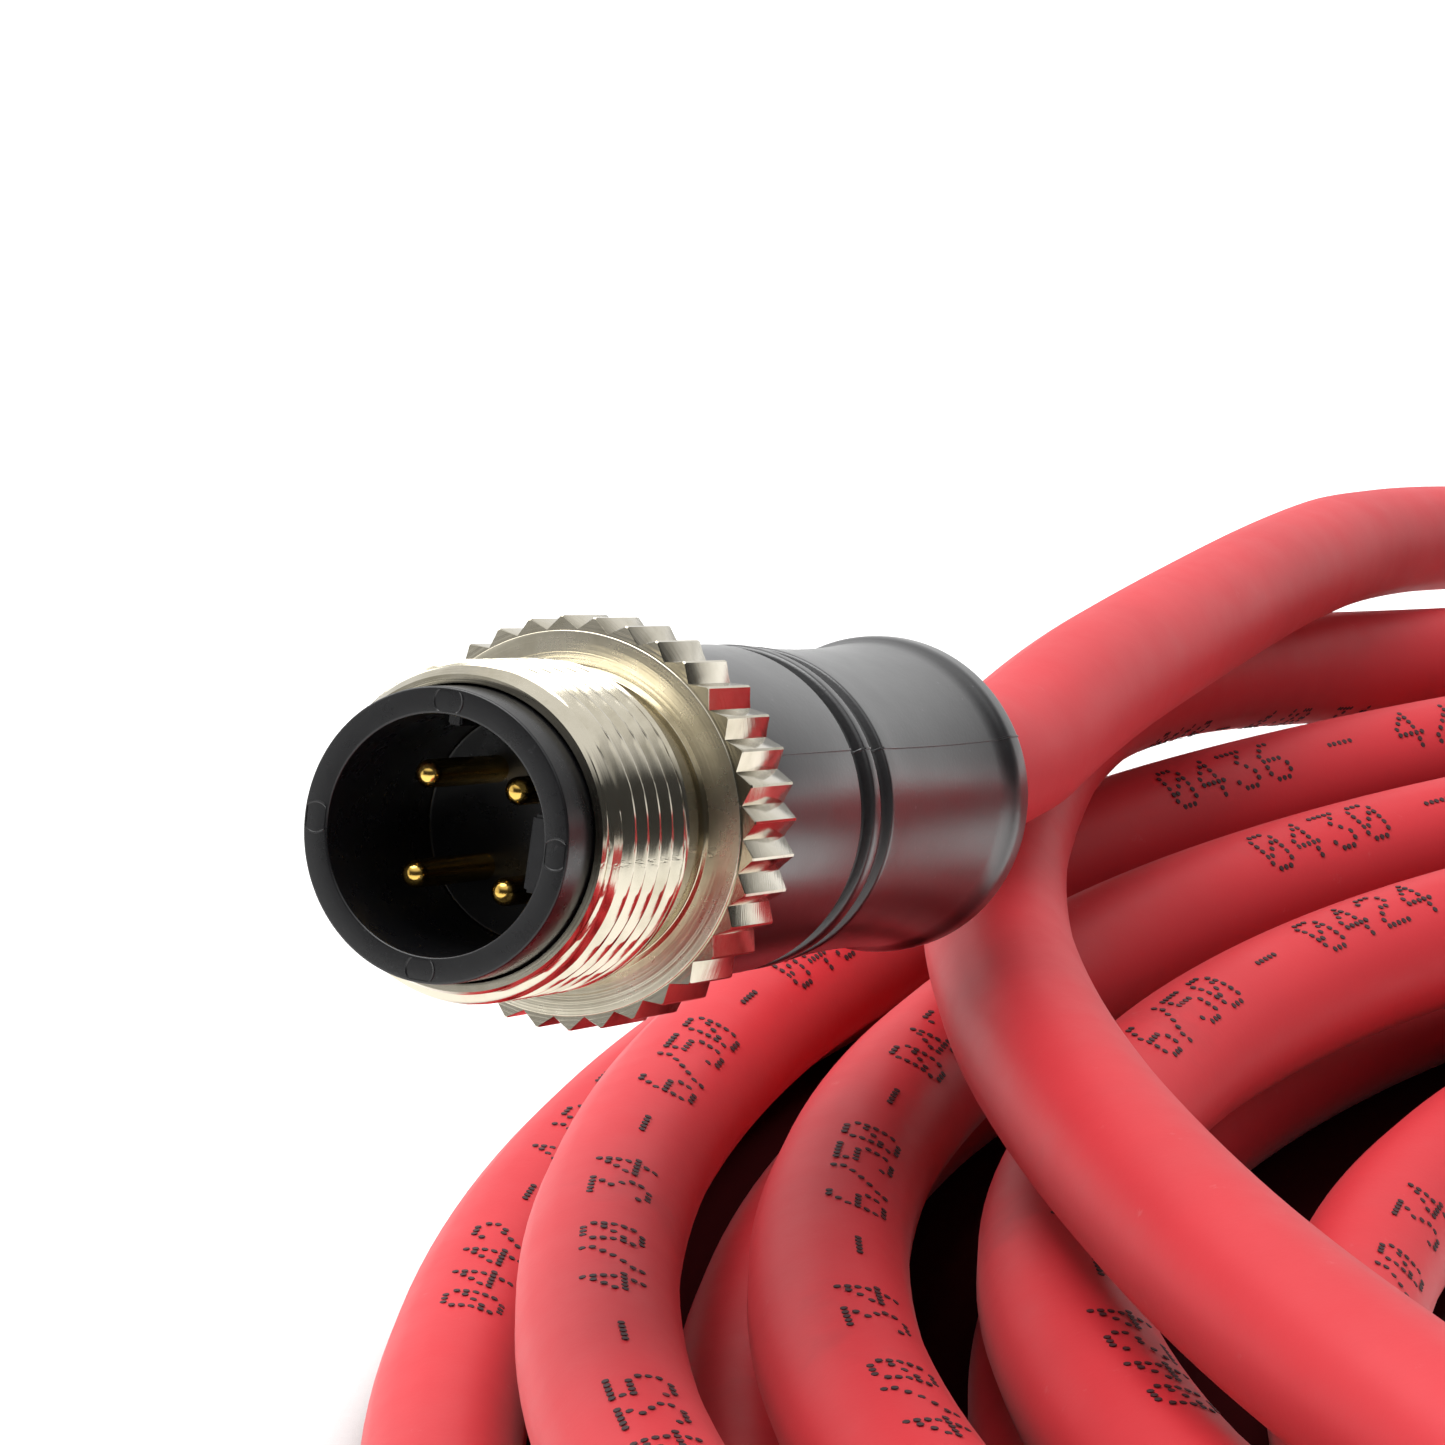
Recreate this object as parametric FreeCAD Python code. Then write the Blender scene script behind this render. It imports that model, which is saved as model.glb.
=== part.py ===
import FreeCAD, Part
import math
import os

# Double-ended M12 cordset, put away as a loose coil. All sizes in millimetres, +Z up.
# The coil lies on the floor, and one connector rests on top of it with its nose raised.

V = FreeCAD.Vector

# Cable
CABLE_D = 6.5
CORD_SIDES = 6
CORD_CORNER_R = 3.42
FLOOR_CUT = CABLE_D / 10
TURN_GAP = 0.45
WIRE_D = 1.44
WIRE_BARE_R = 0.4
WIRE_QUAD_R = 1.12

# Coil: reach from the coil's middle at the left, near, right and far side of each turn
QUARTERS = (180.0, 270.0, 0.0, 90.0)
LOWER_FIRST = (72.0, 73.0, 78.0, 85.0)
LOWER_STEP = (12.0, 11.0, 12.0, 15.0)
LOWER_TURNS = 3
UPPER_FIRST = (102.0, 92.0, 97.5, 100.0)
UPPER_STEP = (9.0, 9.0, 9.0, 15.0)
UPPER_TURNS = 2
CLIMB_REACH = 113.0

# Free stretch to connector A: along the floor side of the last turn, twice round on top
ROUTE_A = (
    (23.0, -72.2, 9.55),
    (48.5, -59.5, 9.7),
    (68.0, -36.0, 11.3),
    (79.5, -8.0, 14.2),
    (86.0, 22.0, 17.0),
    (84.0, 56.0, 16.7),
    (70.0, 88.0, 16.7),
    (38.0, 117.0, 9.5),
    (0.0, 128.0, 5.2),
    (-36.0, 124.0, 6.0),
    (-58.0, 107.0, 8.9),
    (-71.0, 86.0, 13.7),
    (-79.5, 64.0, 17.1),
    (-84.5, 40.0, 16.6),
    (-85.2, 18.0, 16.5),
    (-82.0, -4.0, 16.6),
    (-76.5, -24.0, 16.7),
    (-64.0, -52.0, 16.7),
    (-40.0, -79.0, 16.7),
    (-6.0, -93.0, 16.7),
    (32.0, -92.0, 16.7),
    (68.0, -74.0, 16.7),
    (93.0, -44.0, 16.7),
    (105.0, -6.0, 16.7),
    (107.0, 32.0, 17.2),
    (100.0, 68.0, 14.8),
    (84.0, 101.0, 8.5),
    (60.0, 130.0, 3.6),
    (26.0, 150.0, 3.4),
    (-14.0, 152.0, 5.4),
    (-44.0, 134.0, 11.0),
    (-58.5, 108.0, 16.5),
    (-66.0, 86.5, 19.3),
    (-74.2, 62.0, 21.7),
    (-80.6, 42.5, 23.4),
)
# Free stretch to connector B, which lies on the floor inside the coil
ROUTE_B = (
    (24.6, 64.5, 2.6),
    (42.4, 51.6, 3.2),
    (53.1, 32.4, 4.5),
)

# Connector: distances along its axis run rearwards from the front of the nose
SHELL_R = 5.11
SOCKET_R = 4.17
SOCKET_DEPTH = 7.6
NOSE_BEVEL = 0.35
CARRIER_END = 15.2
COLLAR_HEIGHT = 0.64
COLLAR_R = SHELL_R + COLLAR_HEIGHT
COLLAR_FRONT = 10.75
COLLAR_BACK = 12.5
KEY_WIDTH = 2.7
KEY_HEIGHT = 0.75
SMALL_KEY_WIDTH = 0.5
SMALL_KEY_HEIGHT = 0.35
ROUND_SIDES = 18
HIDDEN_SIDES = 8

PIN_R = 0.5
PIN_PCD = 5.0
PIN_COUNT = 4
PIN_SIDES = 6
PIN_TIP = 2.0
PIN_TIP_R = 0.22
PIN_BACK_R = 0.46
PIN_TIP_BEVEL = 0.3
PIN_ROOT = 0.5
PIN_SHOULDER_R = 0.8
PIN_SHOULDER_FRONT = 10.6
PIN_SHOULDER_LENGTH = 1.2
PIN_CUP_BACK = 18.2
PIN_CUP_DEPTH = 2.4
PIN_FIT = 0.02
WIRE_BEND_FRONT = 20.2
WIRE_BEND_BACK = 25.6

SCREW_CLEARANCE = 0.08
SCREW_END_PLAY = 0.2
SCREW_BORE_R = SHELL_R + SCREW_CLEARANCE
SCREW_CHAMBER_R = COLLAR_R + SCREW_CLEARANCE
THREAD_WALL = 0.81
THREAD_TIP_WALL = 0.31
THREAD_BEVEL = 0.05
THREAD_R = SCREW_BORE_R + THREAD_WALL
THREAD_TIP_R = SCREW_BORE_R + THREAD_TIP_WALL
SCREW_FRONT = 1.88
THREAD_LEAD = 1.0
THREAD_BACK = 8.35
NECK_WALL = 0.36
NECK_R = SCREW_BORE_R + NECK_WALL
FLANGE_FRONT = 10.07
KNURL_BACK = 13.9
KNURL_WALL = 1.15
KNURL_DEPTH = 0.52
KNURL_ROOT_R = SCREW_CHAMBER_R + KNURL_WALL
KNURL_TIP_R = KNURL_ROOT_R + KNURL_DEPTH
KNURL_TEETH = 36

GRIP_FRONT = 14.15
GRIP_BACK = 40.2
GRIP_R = 6.35
GRIP_FRONT_BEVEL = 0.3
GROOVE_R = 5.75
GROOVE_EDGES = (22.7, 24.6, 25.9, 27.6)
WAIST_R = 5.98
WAIST_AT = 32.0
RIM_R = 6.56
RIM_LENGTH = 1.7
RIM_BEVEL = 0.4
LIP = 0.25
CABLE_SEAT = 0.2

JACKET_END = 28.0
MOULD_R = 4.2
SLEEVE_WALL = 0.35
SLEEVE_BACK = 31.0
SLEEVE_SHOULDER = 28.6
BRAID_WALL = 0.25
BRAID_FRONT = 27.8
BRAID_BACK = 34.0
FERRULE_WALL = 0.4
FERRULE_FRONT = 29.2
FERRULE_BACK = 33.4
FIT_GAP = 0.03

# Where each connector's nose is, from the middle of the coil, which way its axis runs
# rearwards, and how far it is turned about that axis
NOSE_A_X = -106.85
NOSE_A_Y = -19.1
NOSE_A_Z = 34.0
AXIS_A = V(0.411, 0.888, -0.206)
ROLL_A = 3.5
LAST_STRAIGHT_A = 51.0
NOSE_B_X = 36.0
NOSE_B_Y = -38.0
HEADING_B = 69.0
ROLL_B = 9.0
FLOOR_GAP_B = 0.05
LAST_STRAIGHT_B = 52.0

CORD_R = CABLE_D / 2
LOWER_Z = CORD_R - FLOOR_CUT
UPPER_Z = LOWER_Z + CABLE_D + TURN_GAP
CLIMB_QUARTER = 4 * LOWER_TURNS + 1
FULL_TURN = 360.0
ARC_SHARE = 0.45


def arc_from_tangent(start, tangent, end):
    """Arc from start to end that leaves start along tangent."""
    chord = end - start
    along = V(chord).normalize()
    side = tangent - along * tangent.dot(along)
    if side.Length < 1e-6:
        return Part.LineSegment(start, end)
    half_turn = math.acos(max(-1.0, min(1.0, tangent.dot(along))))
    rise = chord.Length / 2 * math.tan(half_turn / 2)
    middle = (start + end) * 0.5 + side.normalize() * rise
    return Part.Arc(start, middle, end)


def biarc(start, start_dir, end, end_dir):
    """Two arcs that join two points smoothly, each tangent to its end."""
    chord = end - start
    both = start_dir + end_dir
    open_part = 2 * (1 - start_dir.dot(end_dir))
    along = chord.dot(both)
    reach = (-along + math.sqrt(along * along + open_part * chord.dot(chord))) / open_part
    first_corner = start + start_dir * reach
    last_corner = end - end_dir * reach
    joint = (first_corner + last_corner) * 0.5
    joint_dir = (last_corner - first_corner).normalize()
    return [arc_from_tangent(start, start_dir, joint), arc_from_tangent(joint, joint_dir, end)]


def cord_section(point, direction):
    """Wire of the cord's section: a polygon about as wide as the round cord, one flat side down."""
    across = direction.cross(V(0, 0, 1)).normalize()
    up = across.cross(direction).normalize()
    corners = []
    for i in range(CORD_SIDES):
        angle = 2 * math.pi * i / CORD_SIDES
        spoke = across * math.cos(angle) + up * math.sin(angle)
        corners.append(point + spoke * CORD_CORNER_R)
    return Part.makePolygon(corners + corners[:1])


def sweep_cord(name, curves):
    """Tube of the cord's section along the curves, with its volume set against its length."""
    path = Part.Wire([curve.toShape() for curve in curves])
    start = curves[0].value(curves[0].FirstParameter)
    direction = V(curves[0].tangent(curves[0].FirstParameter)[0])
    section = cord_section(start, direction)
    tube = path.makePipeShell([section], True, False)
    share = tube.Volume / (Part.Face(section).Area * path.Length)
    print(f"{name}: length {path.Length:.1f} mm, volume over section times length {share:.4f}")
    return tube, path


def below_floor(tube):
    """Block under the floor, a little wider than the tube that it cuts flat."""
    box = tube.BoundBox
    corner = V(box.XMin - CORD_R, box.YMin - CORD_R, -CABLE_D)
    return Part.makeBox(box.XLength + CABLE_D, box.YLength + CABLE_D, CABLE_D, corner)


def coil_reach(quarter_turn):
    """Reach of the turn's centre line at a count of quarter turns, 0 at the left."""
    side = quarter_turn % 4
    turn = quarter_turn // 4
    if quarter_turn <= CLIMB_QUARTER:
        return LOWER_FIRST[side] + LOWER_STEP[side] * turn
    if quarter_turn == CLIMB_QUARTER + 1:
        return CLIMB_REACH
    first_upper = LOWER_TURNS if side == 3 else LOWER_TURNS + 1
    return UPPER_FIRST[side] - UPPER_STEP[side] * (turn - first_upper)


def coil_points():
    """Centre line's points, one each quarter turn, from the inner lower end upwards."""
    last = 4 * (LOWER_TURNS + 1 + UPPER_TURNS) + 1
    points = []
    for quarter_turn in range(-1, last + 1):
        reach = coil_reach(quarter_turn)
        angle = math.radians(QUARTERS[quarter_turn % 4])
        height = LOWER_Z if quarter_turn < CLIMB_QUARTER else UPPER_Z
        if quarter_turn == CLIMB_QUARTER:
            height = (LOWER_Z + UPPER_Z) / 2
        points.append(V(reach * math.cos(angle), reach * math.sin(angle), height))
    return points


def coil_curves():
    """Biarcs of a quarter turn along the coil, with a straight run at each end."""
    points = coil_points()
    directions = []
    for i, point in enumerate(points):
        before = points[max(i - 1, 0)]
        after = points[min(i + 1, len(points) - 1)]
        if i == 0:
            direction = point - V(*ROUTE_B[0])
        elif i == len(points) - 1:
            direction = V(*ROUTE_A[0]) - point
        else:
            direction = after - before
        climbing = abs(after.z - point.z) > TURN_GAP and abs(point.z - before.z) > TURN_GAP
        if not climbing:
            direction.z = 0
        directions.append(direction.normalize())
    first = points[0] - directions[0] * CABLE_D
    last = points[-1] + directions[-1] * CABLE_D
    curves = [Part.LineSegment(first, points[0])]
    for i in range(len(points) - 1):
        curves += biarc(points[i], directions[i], points[i + 1], directions[i + 1])
    curves.append(Part.LineSegment(points[-1], last))
    return curves, first, last


def rounded_curves(points):
    """Straight runs along the points, joined by arcs as large as the runs allow."""
    curves = []
    radii = []
    at = points[0]
    for before, corner, after in zip(points, points[1:], points[2:]):
        back = before - corner
        ahead = after - corner
        tangent_length = ARC_SHARE * min(back.Length, ahead.Length)
        back.normalize()
        ahead.normalize()
        turn = math.pi - math.acos(back.dot(ahead))
        radius = tangent_length / math.tan(turn / 2)
        radii.append(radius)
        start = corner + back * tangent_length
        end = corner + ahead * tangent_length
        inward = (back + ahead).normalize()
        middle = corner + inward * (radius / math.cos(turn / 2) - radius)
        curves.append(Part.LineSegment(at, start))
        curves.append(Part.Arc(start, middle, end))
        at = end
    curves.append(Part.LineSegment(at, points[-1]))
    return curves, radii


def rounded_route(name, points):
    """Curves of a free stretch, with its arcs' radii printed."""
    curves, radii = rounded_curves(points)
    print(f"{name} radii:", " ".join(f"{radius:.0f}" for radius in radii))
    return curves


def least_gap_to_itself(path, skip):
    """Least gap between parts of the tube that are further along it than skip."""
    points = path.discretize(Distance=2.5)
    step = path.Length / (len(points) - 1)
    apart = int(skip / step)
    least = path.Length
    for i, point in enumerate(points):
        for other in points[i + apart:]:
            if abs(point.x - other.x) < least and abs(point.y - other.y) < least:
                least = min(least, point.distanceToPoint(other))
    return least - CABLE_D


def axis_frame(nose, axis, roll):
    """Placement that takes a connector's own frame, +X rearwards, to where it lies."""
    along = V(axis).normalize()
    up = V(0, 0, 1) - along * along.z
    up.normalize()
    left = up.cross(along)
    matrix = FreeCAD.Matrix(
        along.x, left.x, up.x, 0,
        along.y, left.y, up.y, 0,
        along.z, left.z, up.z, 0,
        0, 0, 0, 1)
    turned = FreeCAD.Placement(matrix)
    turned.Rotation = turned.Rotation.multiply(FreeCAD.Rotation(V(1, 0, 0), roll))
    turned.Base = nose
    return turned


def ring(sides, radius, x, y=0.0, z=0.0):
    """Corners of a regular polygon square to the connector's axis."""
    corners = []
    for i in range(sides):
        angle = 2 * math.pi * (i + 0.5) / sides
        corners.append(V(x, y + radius * math.cos(angle), z + radius * math.sin(angle)))
    return corners


def skin(rings, closed):
    """Solid between rings of corners, either closed on itself or with its two ends capped."""
    following = rings[1:] + rings[:1] if closed else rings[1:]
    faces = []
    for here, there in zip(rings, following):
        for i in range(len(here)):
            faces.append(flat_face([here[i - 1], here[i], there[i], there[i - 1]]))
    if not closed:
        faces += [flat_face(rings[0]), flat_face(rings[-1])]
    solid = Part.makeSolid(Part.makeShell(faces))
    if solid.Volume < 0:
        solid.reverse()
    return solid.removeSplitter()


def flat_face(corners):
    return Part.Face(Part.makePolygon(corners + corners[:1]))


def turned(profile, sides=ROUND_SIDES, y=0.0, z=0.0):
    """Solid turned piece with flat sides, its corners on the (distance, radius) profile."""
    return skin([ring(sides, radius, x, y, z) for x, radius in profile], False)


def bored(profile, sides=ROUND_SIDES, y=0.0, z=0.0):
    """The same with its flats on the profile, to cut a bore that a turned piece fits."""
    grown = 1 / math.cos(math.pi / sides)
    return turned([(x, radius * grown) for x, radius in profile], sides, y, z)


def sleeve(profile, sides=HIDDEN_SIDES):
    """Tube with flat sides from a closed profile, its flats on the profile."""
    grown = 1 / math.cos(math.pi / sides)
    return skin([ring(sides, radius * grown, x) for x, radius in profile], True)


def pin_places():
    """Side and height of each contact pin on its pitch circle."""
    places = []
    for i in range(PIN_COUNT):
        angle = math.radians(45.0 + FULL_TURN / PIN_COUNT * i)
        places.append((PIN_PCD / 2 * math.cos(angle), PIN_PCD / 2 * math.sin(angle)))
    return places


def contact_carrier():
    """Insulator: the nose's cup with its keys, the floor that holds the pins, the collar."""
    body = turned([
        (0, SHELL_R - NOSE_BEVEL),
        (NOSE_BEVEL, SHELL_R),
        (COLLAR_FRONT, SHELL_R),
        (COLLAR_FRONT, COLLAR_R),
        (COLLAR_BACK, COLLAR_R),
        (COLLAR_BACK, SHELL_R),
        (CARRIER_END, SHELL_R)])
    body = body.cut(bored([
        (-NOSE_BEVEL, SOCKET_R + 2 * NOSE_BEVEL),
        (NOSE_BEVEL, SOCKET_R),
        (SOCKET_DEPTH, SOCKET_R)]))
    into_wall = (SHELL_R - SOCKET_R) / 3
    for width, height, side in ((KEY_WIDTH, KEY_HEIGHT, 0.0), (SMALL_KEY_WIDTH, SMALL_KEY_HEIGHT, 90.0)):
        rib = Part.makeBox(
            SOCKET_DEPTH - NOSE_BEVEL, height + into_wall, width,
            V(NOSE_BEVEL, -SOCKET_R - into_wall, -width / 2))
        rib.rotate(V(0, 0, 0), V(1, 0, 0), -side)
        body = body.fuse(rib)
    stem_r = PIN_BACK_R + PIN_FIT
    shoulder_back = PIN_SHOULDER_FRONT + PIN_SHOULDER_LENGTH
    for y, z in pin_places():
        body = body.cut(turned([
            (SOCKET_DEPTH - 1, stem_r),
            (PIN_SHOULDER_FRONT, stem_r),
            (PIN_SHOULDER_FRONT, PIN_SHOULDER_R),
            (shoulder_back, PIN_SHOULDER_R),
            (shoulder_back, stem_r),
            (CARRIER_END + 1, stem_r)], PIN_SIDES, y, z))
    return body.removeSplitter()


def contact_pin(y, z):
    """Turned contact: bevelled tip, stem, locking shoulder and a cup for the wire."""
    stem_back = SOCKET_DEPTH - PIN_ROOT
    shoulder_back = PIN_SHOULDER_FRONT + PIN_SHOULDER_LENGTH
    tip_back = PIN_TIP + PIN_TIP_BEVEL
    stem = Part.makeCylinder(PIN_R, stem_back - tip_back, V(tip_back, y, z), V(1, 0, 0))
    tip = turned([(PIN_TIP, PIN_TIP_R), (tip_back, PIN_BACK_R)], PIN_SIDES, y, z)
    back = turned([
        (stem_back, PIN_BACK_R),
        (PIN_SHOULDER_FRONT, PIN_BACK_R),
        (PIN_SHOULDER_FRONT, PIN_SHOULDER_R),
        (shoulder_back, PIN_SHOULDER_R),
        (shoulder_back, PIN_BACK_R),
        (CARRIER_END, PIN_BACK_R),
        (CARRIER_END, WIRE_D / 2),
        (PIN_CUP_BACK, WIRE_D / 2),
        (PIN_CUP_BACK, WIRE_BARE_R + PIN_FIT),
        (PIN_CUP_BACK - PIN_CUP_DEPTH, WIRE_BARE_R + PIN_FIT)], PIN_SIDES, y, z)
    return back.fuse([stem, tip])


def wire_core(y, z):
    """One wire: bare end in its pin's cup, insulation from there in to the cable's quad."""
    inwards = WIRE_QUAD_R / (PIN_PCD / 2)
    return skin([
        ring(PIN_SIDES, WIRE_BARE_R, PIN_CUP_BACK - PIN_CUP_DEPTH, y, z),
        ring(PIN_SIDES, WIRE_BARE_R, PIN_CUP_BACK, y, z),
        ring(PIN_SIDES, WIRE_D / 2, PIN_CUP_BACK, y, z),
        ring(PIN_SIDES, WIRE_D / 2, WIRE_BEND_FRONT, y, z),
        ring(PIN_SIDES, WIRE_D / 2, WIRE_BEND_BACK, y * inwards, z * inwards),
        ring(PIN_SIDES, WIRE_D / 2, JACKET_END, y * inwards, z * inwards)], False)


def core_mould():
    """Inner mould around the contacts' cups and the wires, behind the carrier."""
    inwards = WIRE_QUAD_R / (PIN_PCD / 2)
    block = bored([(CARRIER_END, MOULD_R), (BRAID_FRONT, MOULD_R)], HIDDEN_SIDES)
    for y, z in pin_places():
        block = block.cut(skin([
            ring(PIN_SIDES, WIRE_D / 2, CARRIER_END - 1, y, z),
            ring(PIN_SIDES, WIRE_D / 2, WIRE_BEND_FRONT, y, z),
            ring(PIN_SIDES, WIRE_D / 2, WIRE_BEND_BACK, y * inwards, z * inwards),
            ring(PIN_SIDES, WIRE_D / 2, BRAID_FRONT + 1, y * inwards, z * inwards)], False))
    return block.removeSplitter()


def braid_out():
    return CORD_R + CABLE_SEAT + BRAID_WALL


def ferrule_out():
    return braid_out() + FIT_GAP + FERRULE_WALL


def shield_sleeve():
    """Thin drawn sleeve that carries the screen from the coupling screw to the ferrule."""
    neck_in = ferrule_out() + FIT_GAP
    front_in = MOULD_R + FIT_GAP
    return sleeve([
        (CARRIER_END, front_in),
        (BRAID_FRONT, front_in),
        (SLEEVE_SHOULDER, neck_in),
        (SLEEVE_BACK, neck_in),
        (SLEEVE_BACK, neck_in + SLEEVE_WALL),
        (SLEEVE_SHOULDER, neck_in + SLEEVE_WALL),
        (BRAID_FRONT, front_in + SLEEVE_WALL),
        (CARRIER_END, front_in + SLEEVE_WALL)])


def plain_tube(front, back, inner, outer):
    return sleeve([(front, inner), (back, inner), (back, outer), (front, outer)])


def shield_braid():
    """Braid of the screen, folded back over the jacket."""
    return plain_tube(BRAID_FRONT, BRAID_BACK, CORD_R + CABLE_SEAT, braid_out())


def crimp_ferrule():
    """Crimped ring that holds the braid on the jacket."""
    return plain_tube(FERRULE_FRONT, FERRULE_BACK, braid_out() + FIT_GAP, ferrule_out())


def grip():
    """Moulded grip: barrel, two finger grooves, waisted back and bevelled end rim."""
    groove_a, ring_a, ring_b, groove_b = GROOVE_EDGES
    body = turned([
        (GRIP_FRONT, GRIP_R - GRIP_FRONT_BEVEL),
        (GRIP_FRONT + GRIP_FRONT_BEVEL, GRIP_R),
        (groove_a - LIP, GRIP_R),
        (groove_a + LIP, GROOVE_R),
        (ring_a - LIP, GROOVE_R),
        (ring_a + LIP, GRIP_R),
        (ring_b - LIP, GRIP_R),
        (ring_b + LIP, GROOVE_R),
        (groove_b, GROOVE_R),
        (WAIST_AT, WAIST_R),
        (GRIP_BACK - RIM_LENGTH, RIM_R),
        (GRIP_BACK - RIM_BEVEL, RIM_R),
        (GRIP_BACK, RIM_R - RIM_BEVEL)])
    body = body.cut(turned([(GRIP_FRONT - 1, SHELL_R), (CARRIER_END, SHELL_R)]))
    sleeve_front = MOULD_R + FIT_GAP + SLEEVE_WALL
    sleeve_neck = ferrule_out() + FIT_GAP + SLEEVE_WALL
    return body.cut(bored([
        (CARRIER_END - LIP, sleeve_front),
        (BRAID_FRONT, sleeve_front),
        (SLEEVE_SHOULDER, sleeve_neck),
        (SLEEVE_BACK, sleeve_neck),
        (SLEEVE_BACK, ferrule_out()),
        (FERRULE_BACK, ferrule_out()),
        (FERRULE_BACK, braid_out()),
        (BRAID_BACK, braid_out()),
        (BRAID_BACK, CORD_R + CABLE_SEAT),
        (GRIP_BACK + 1, CORD_R + CABLE_SEAT)], HIDDEN_SIDES)).removeSplitter()


def knurl_outline(x):
    """Closed outline of the knurl's straight teeth, root and tip by turns."""
    corners = []
    for i in range(2 * KNURL_TEETH):
        radius = KNURL_TIP_R if i % 2 else KNURL_ROOT_R
        angle = math.pi * i / KNURL_TEETH
        corners.append(V(x, radius * math.cos(angle), radius * math.sin(angle)))
    return corners


def coupling_screw():
    """Turned screw that spins on the carrier: thread, neck, flange and knurl."""
    tip_back = SCREW_FRONT + THREAD_LEAD
    tip = turned([(SCREW_FRONT, THREAD_TIP_R), (tip_back, THREAD_R - THREAD_BEVEL)])
    thread = Part.makeCylinder(THREAD_R, THREAD_BACK - tip_back, V(tip_back, 0, 0), V(1, 0, 0))
    neck = turned([(THREAD_BACK, NECK_R), (FLANGE_FRONT, NECK_R)])
    knurl = skin([knurl_outline(FLANGE_FRONT), knurl_outline(KNURL_BACK)], False)
    body = knurl.fuse([neck, thread, tip])
    return body.cut(bored([
        (SCREW_FRONT - 1, SCREW_BORE_R),
        (COLLAR_FRONT - SCREW_END_PLAY, SCREW_BORE_R),
        (COLLAR_FRONT - SCREW_END_PLAY, SCREW_CHAMBER_R),
        (COLLAR_BACK + SCREW_END_PLAY, SCREW_CHAMBER_R),
        (COLLAR_BACK + SCREW_END_PLAY, SCREW_BORE_R),
        (KNURL_BACK + 1, SCREW_BORE_R)])).removeSplitter()


def connector(tag, placement):
    """All pieces of one connector, named for its end, where it lies."""
    places = pin_places()
    pins = [contact_pin(y, z) for y, z in places]
    wires = [wire_core(y, z) for y, z in places]
    pieces = {
        f"contact_carrier_{tag}": contact_carrier(),
        f"coupling_screw_{tag}": coupling_screw(),
        f"core_mould_{tag}": core_mould(),
        f"shield_sleeve_{tag}": shield_sleeve(),
        f"shield_braid_{tag}": shield_braid(),
        f"crimp_ferrule_{tag}": crimp_ferrule(),
        f"grip_{tag}": grip()}
    for i, (pin, wire) in enumerate(zip(pins, wires), 1):
        pieces[f"contact_pin_{i}_{tag}"] = pin
        pieces[f"wire_{i}_{tag}"] = wire
    for shape in pieces.values():
        shape.transformShape(placement.toMatrix())
    return pieces


def on_axis(placement, distance):
    return placement.multVec(V(distance, 0, 0))


def placement_b():
    """Connector B lies on the floor on its knurl and its end rim."""
    knurl_middle = (FLANGE_FRONT + KNURL_BACK) / 2
    drop = (KNURL_TIP_R - RIM_R) / (GRIP_BACK - knurl_middle)
    heading = math.radians(HEADING_B)
    nose_z = KNURL_TIP_R + FLOOR_GAP_B + drop * knurl_middle
    axis = V(math.cos(heading), math.sin(heading), -drop)
    return axis_frame(V(NOSE_B_X, NOSE_B_Y, nose_z), axis, ROLL_B)


def build():
    """All pieces by name, the part's middle on the floor at the origin."""
    frame_a = axis_frame(V(NOSE_A_X, NOSE_A_Y, NOSE_A_Z), AXIS_A, ROLL_A)
    frame_b = placement_b()
    curves, inner_end, upper_end = coil_curves()
    coil, coil_path = sweep_cord("cable_coil", curves)
    coil = coil.cut(below_floor(coil))
    print(f"cable_coil: least gap to itself {least_gap_to_itself(coil_path, 60.0):.2f} mm")

    route_a = [upper_end] + [V(*point) for point in ROUTE_A]
    route_a += [on_axis(frame_a, LAST_STRAIGHT_A), on_axis(frame_a, JACKET_END)]
    tail_a, path_a = sweep_cord("cable_tail_a", rounded_route("cable_tail_a", route_a))
    print(f"cable_tail_a: least gap to itself {least_gap_to_itself(path_a, 60.0):.2f} mm")
    route_b = [inner_end] + [V(*point) for point in ROUTE_B]
    route_b += [on_axis(frame_b, LAST_STRAIGHT_B), on_axis(frame_b, JACKET_END)]
    tail_b, path_b = sweep_cord("cable_tail_b", rounded_route("cable_tail_b", route_b))
    tail_b = tail_b.cut(below_floor(tail_b))
    total = coil_path.Length + path_a.Length + path_b.Length
    print(f"whole cable: {total / 1000:.3f} m")

    pieces = {"cable_coil": coil, "cable_tail_a": tail_a, "cable_tail_b": tail_b}
    pieces.update(connector("a", frame_a))
    pieces.update(connector("b", frame_b))
    whole = Part.makeCompound(list(pieces.values())).optimalBoundingBox()
    shift = V(-whole.Center.x, -whole.Center.y, 0)
    for shape in pieces.values():
        shape.translate(shift)
    print("coil's middle:", tuple(round(value, 3) for value in shift))
    return pieces, shift, frame_a, frame_b


PIECES, COIL_MIDDLE, FRAME_A, FRAME_B = build()
os.makedirs("parts", exist_ok=True)
for node, solid in PIECES.items():
    solid.exportStep(f"parts/{node}.step")
print(len(PIECES), "pieces")
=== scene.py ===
import math

import bmesh
import bpy
from bpy.props import FloatProperty, FloatVectorProperty, IntProperty, PointerProperty
from mathutils import Matrix, Vector


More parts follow.
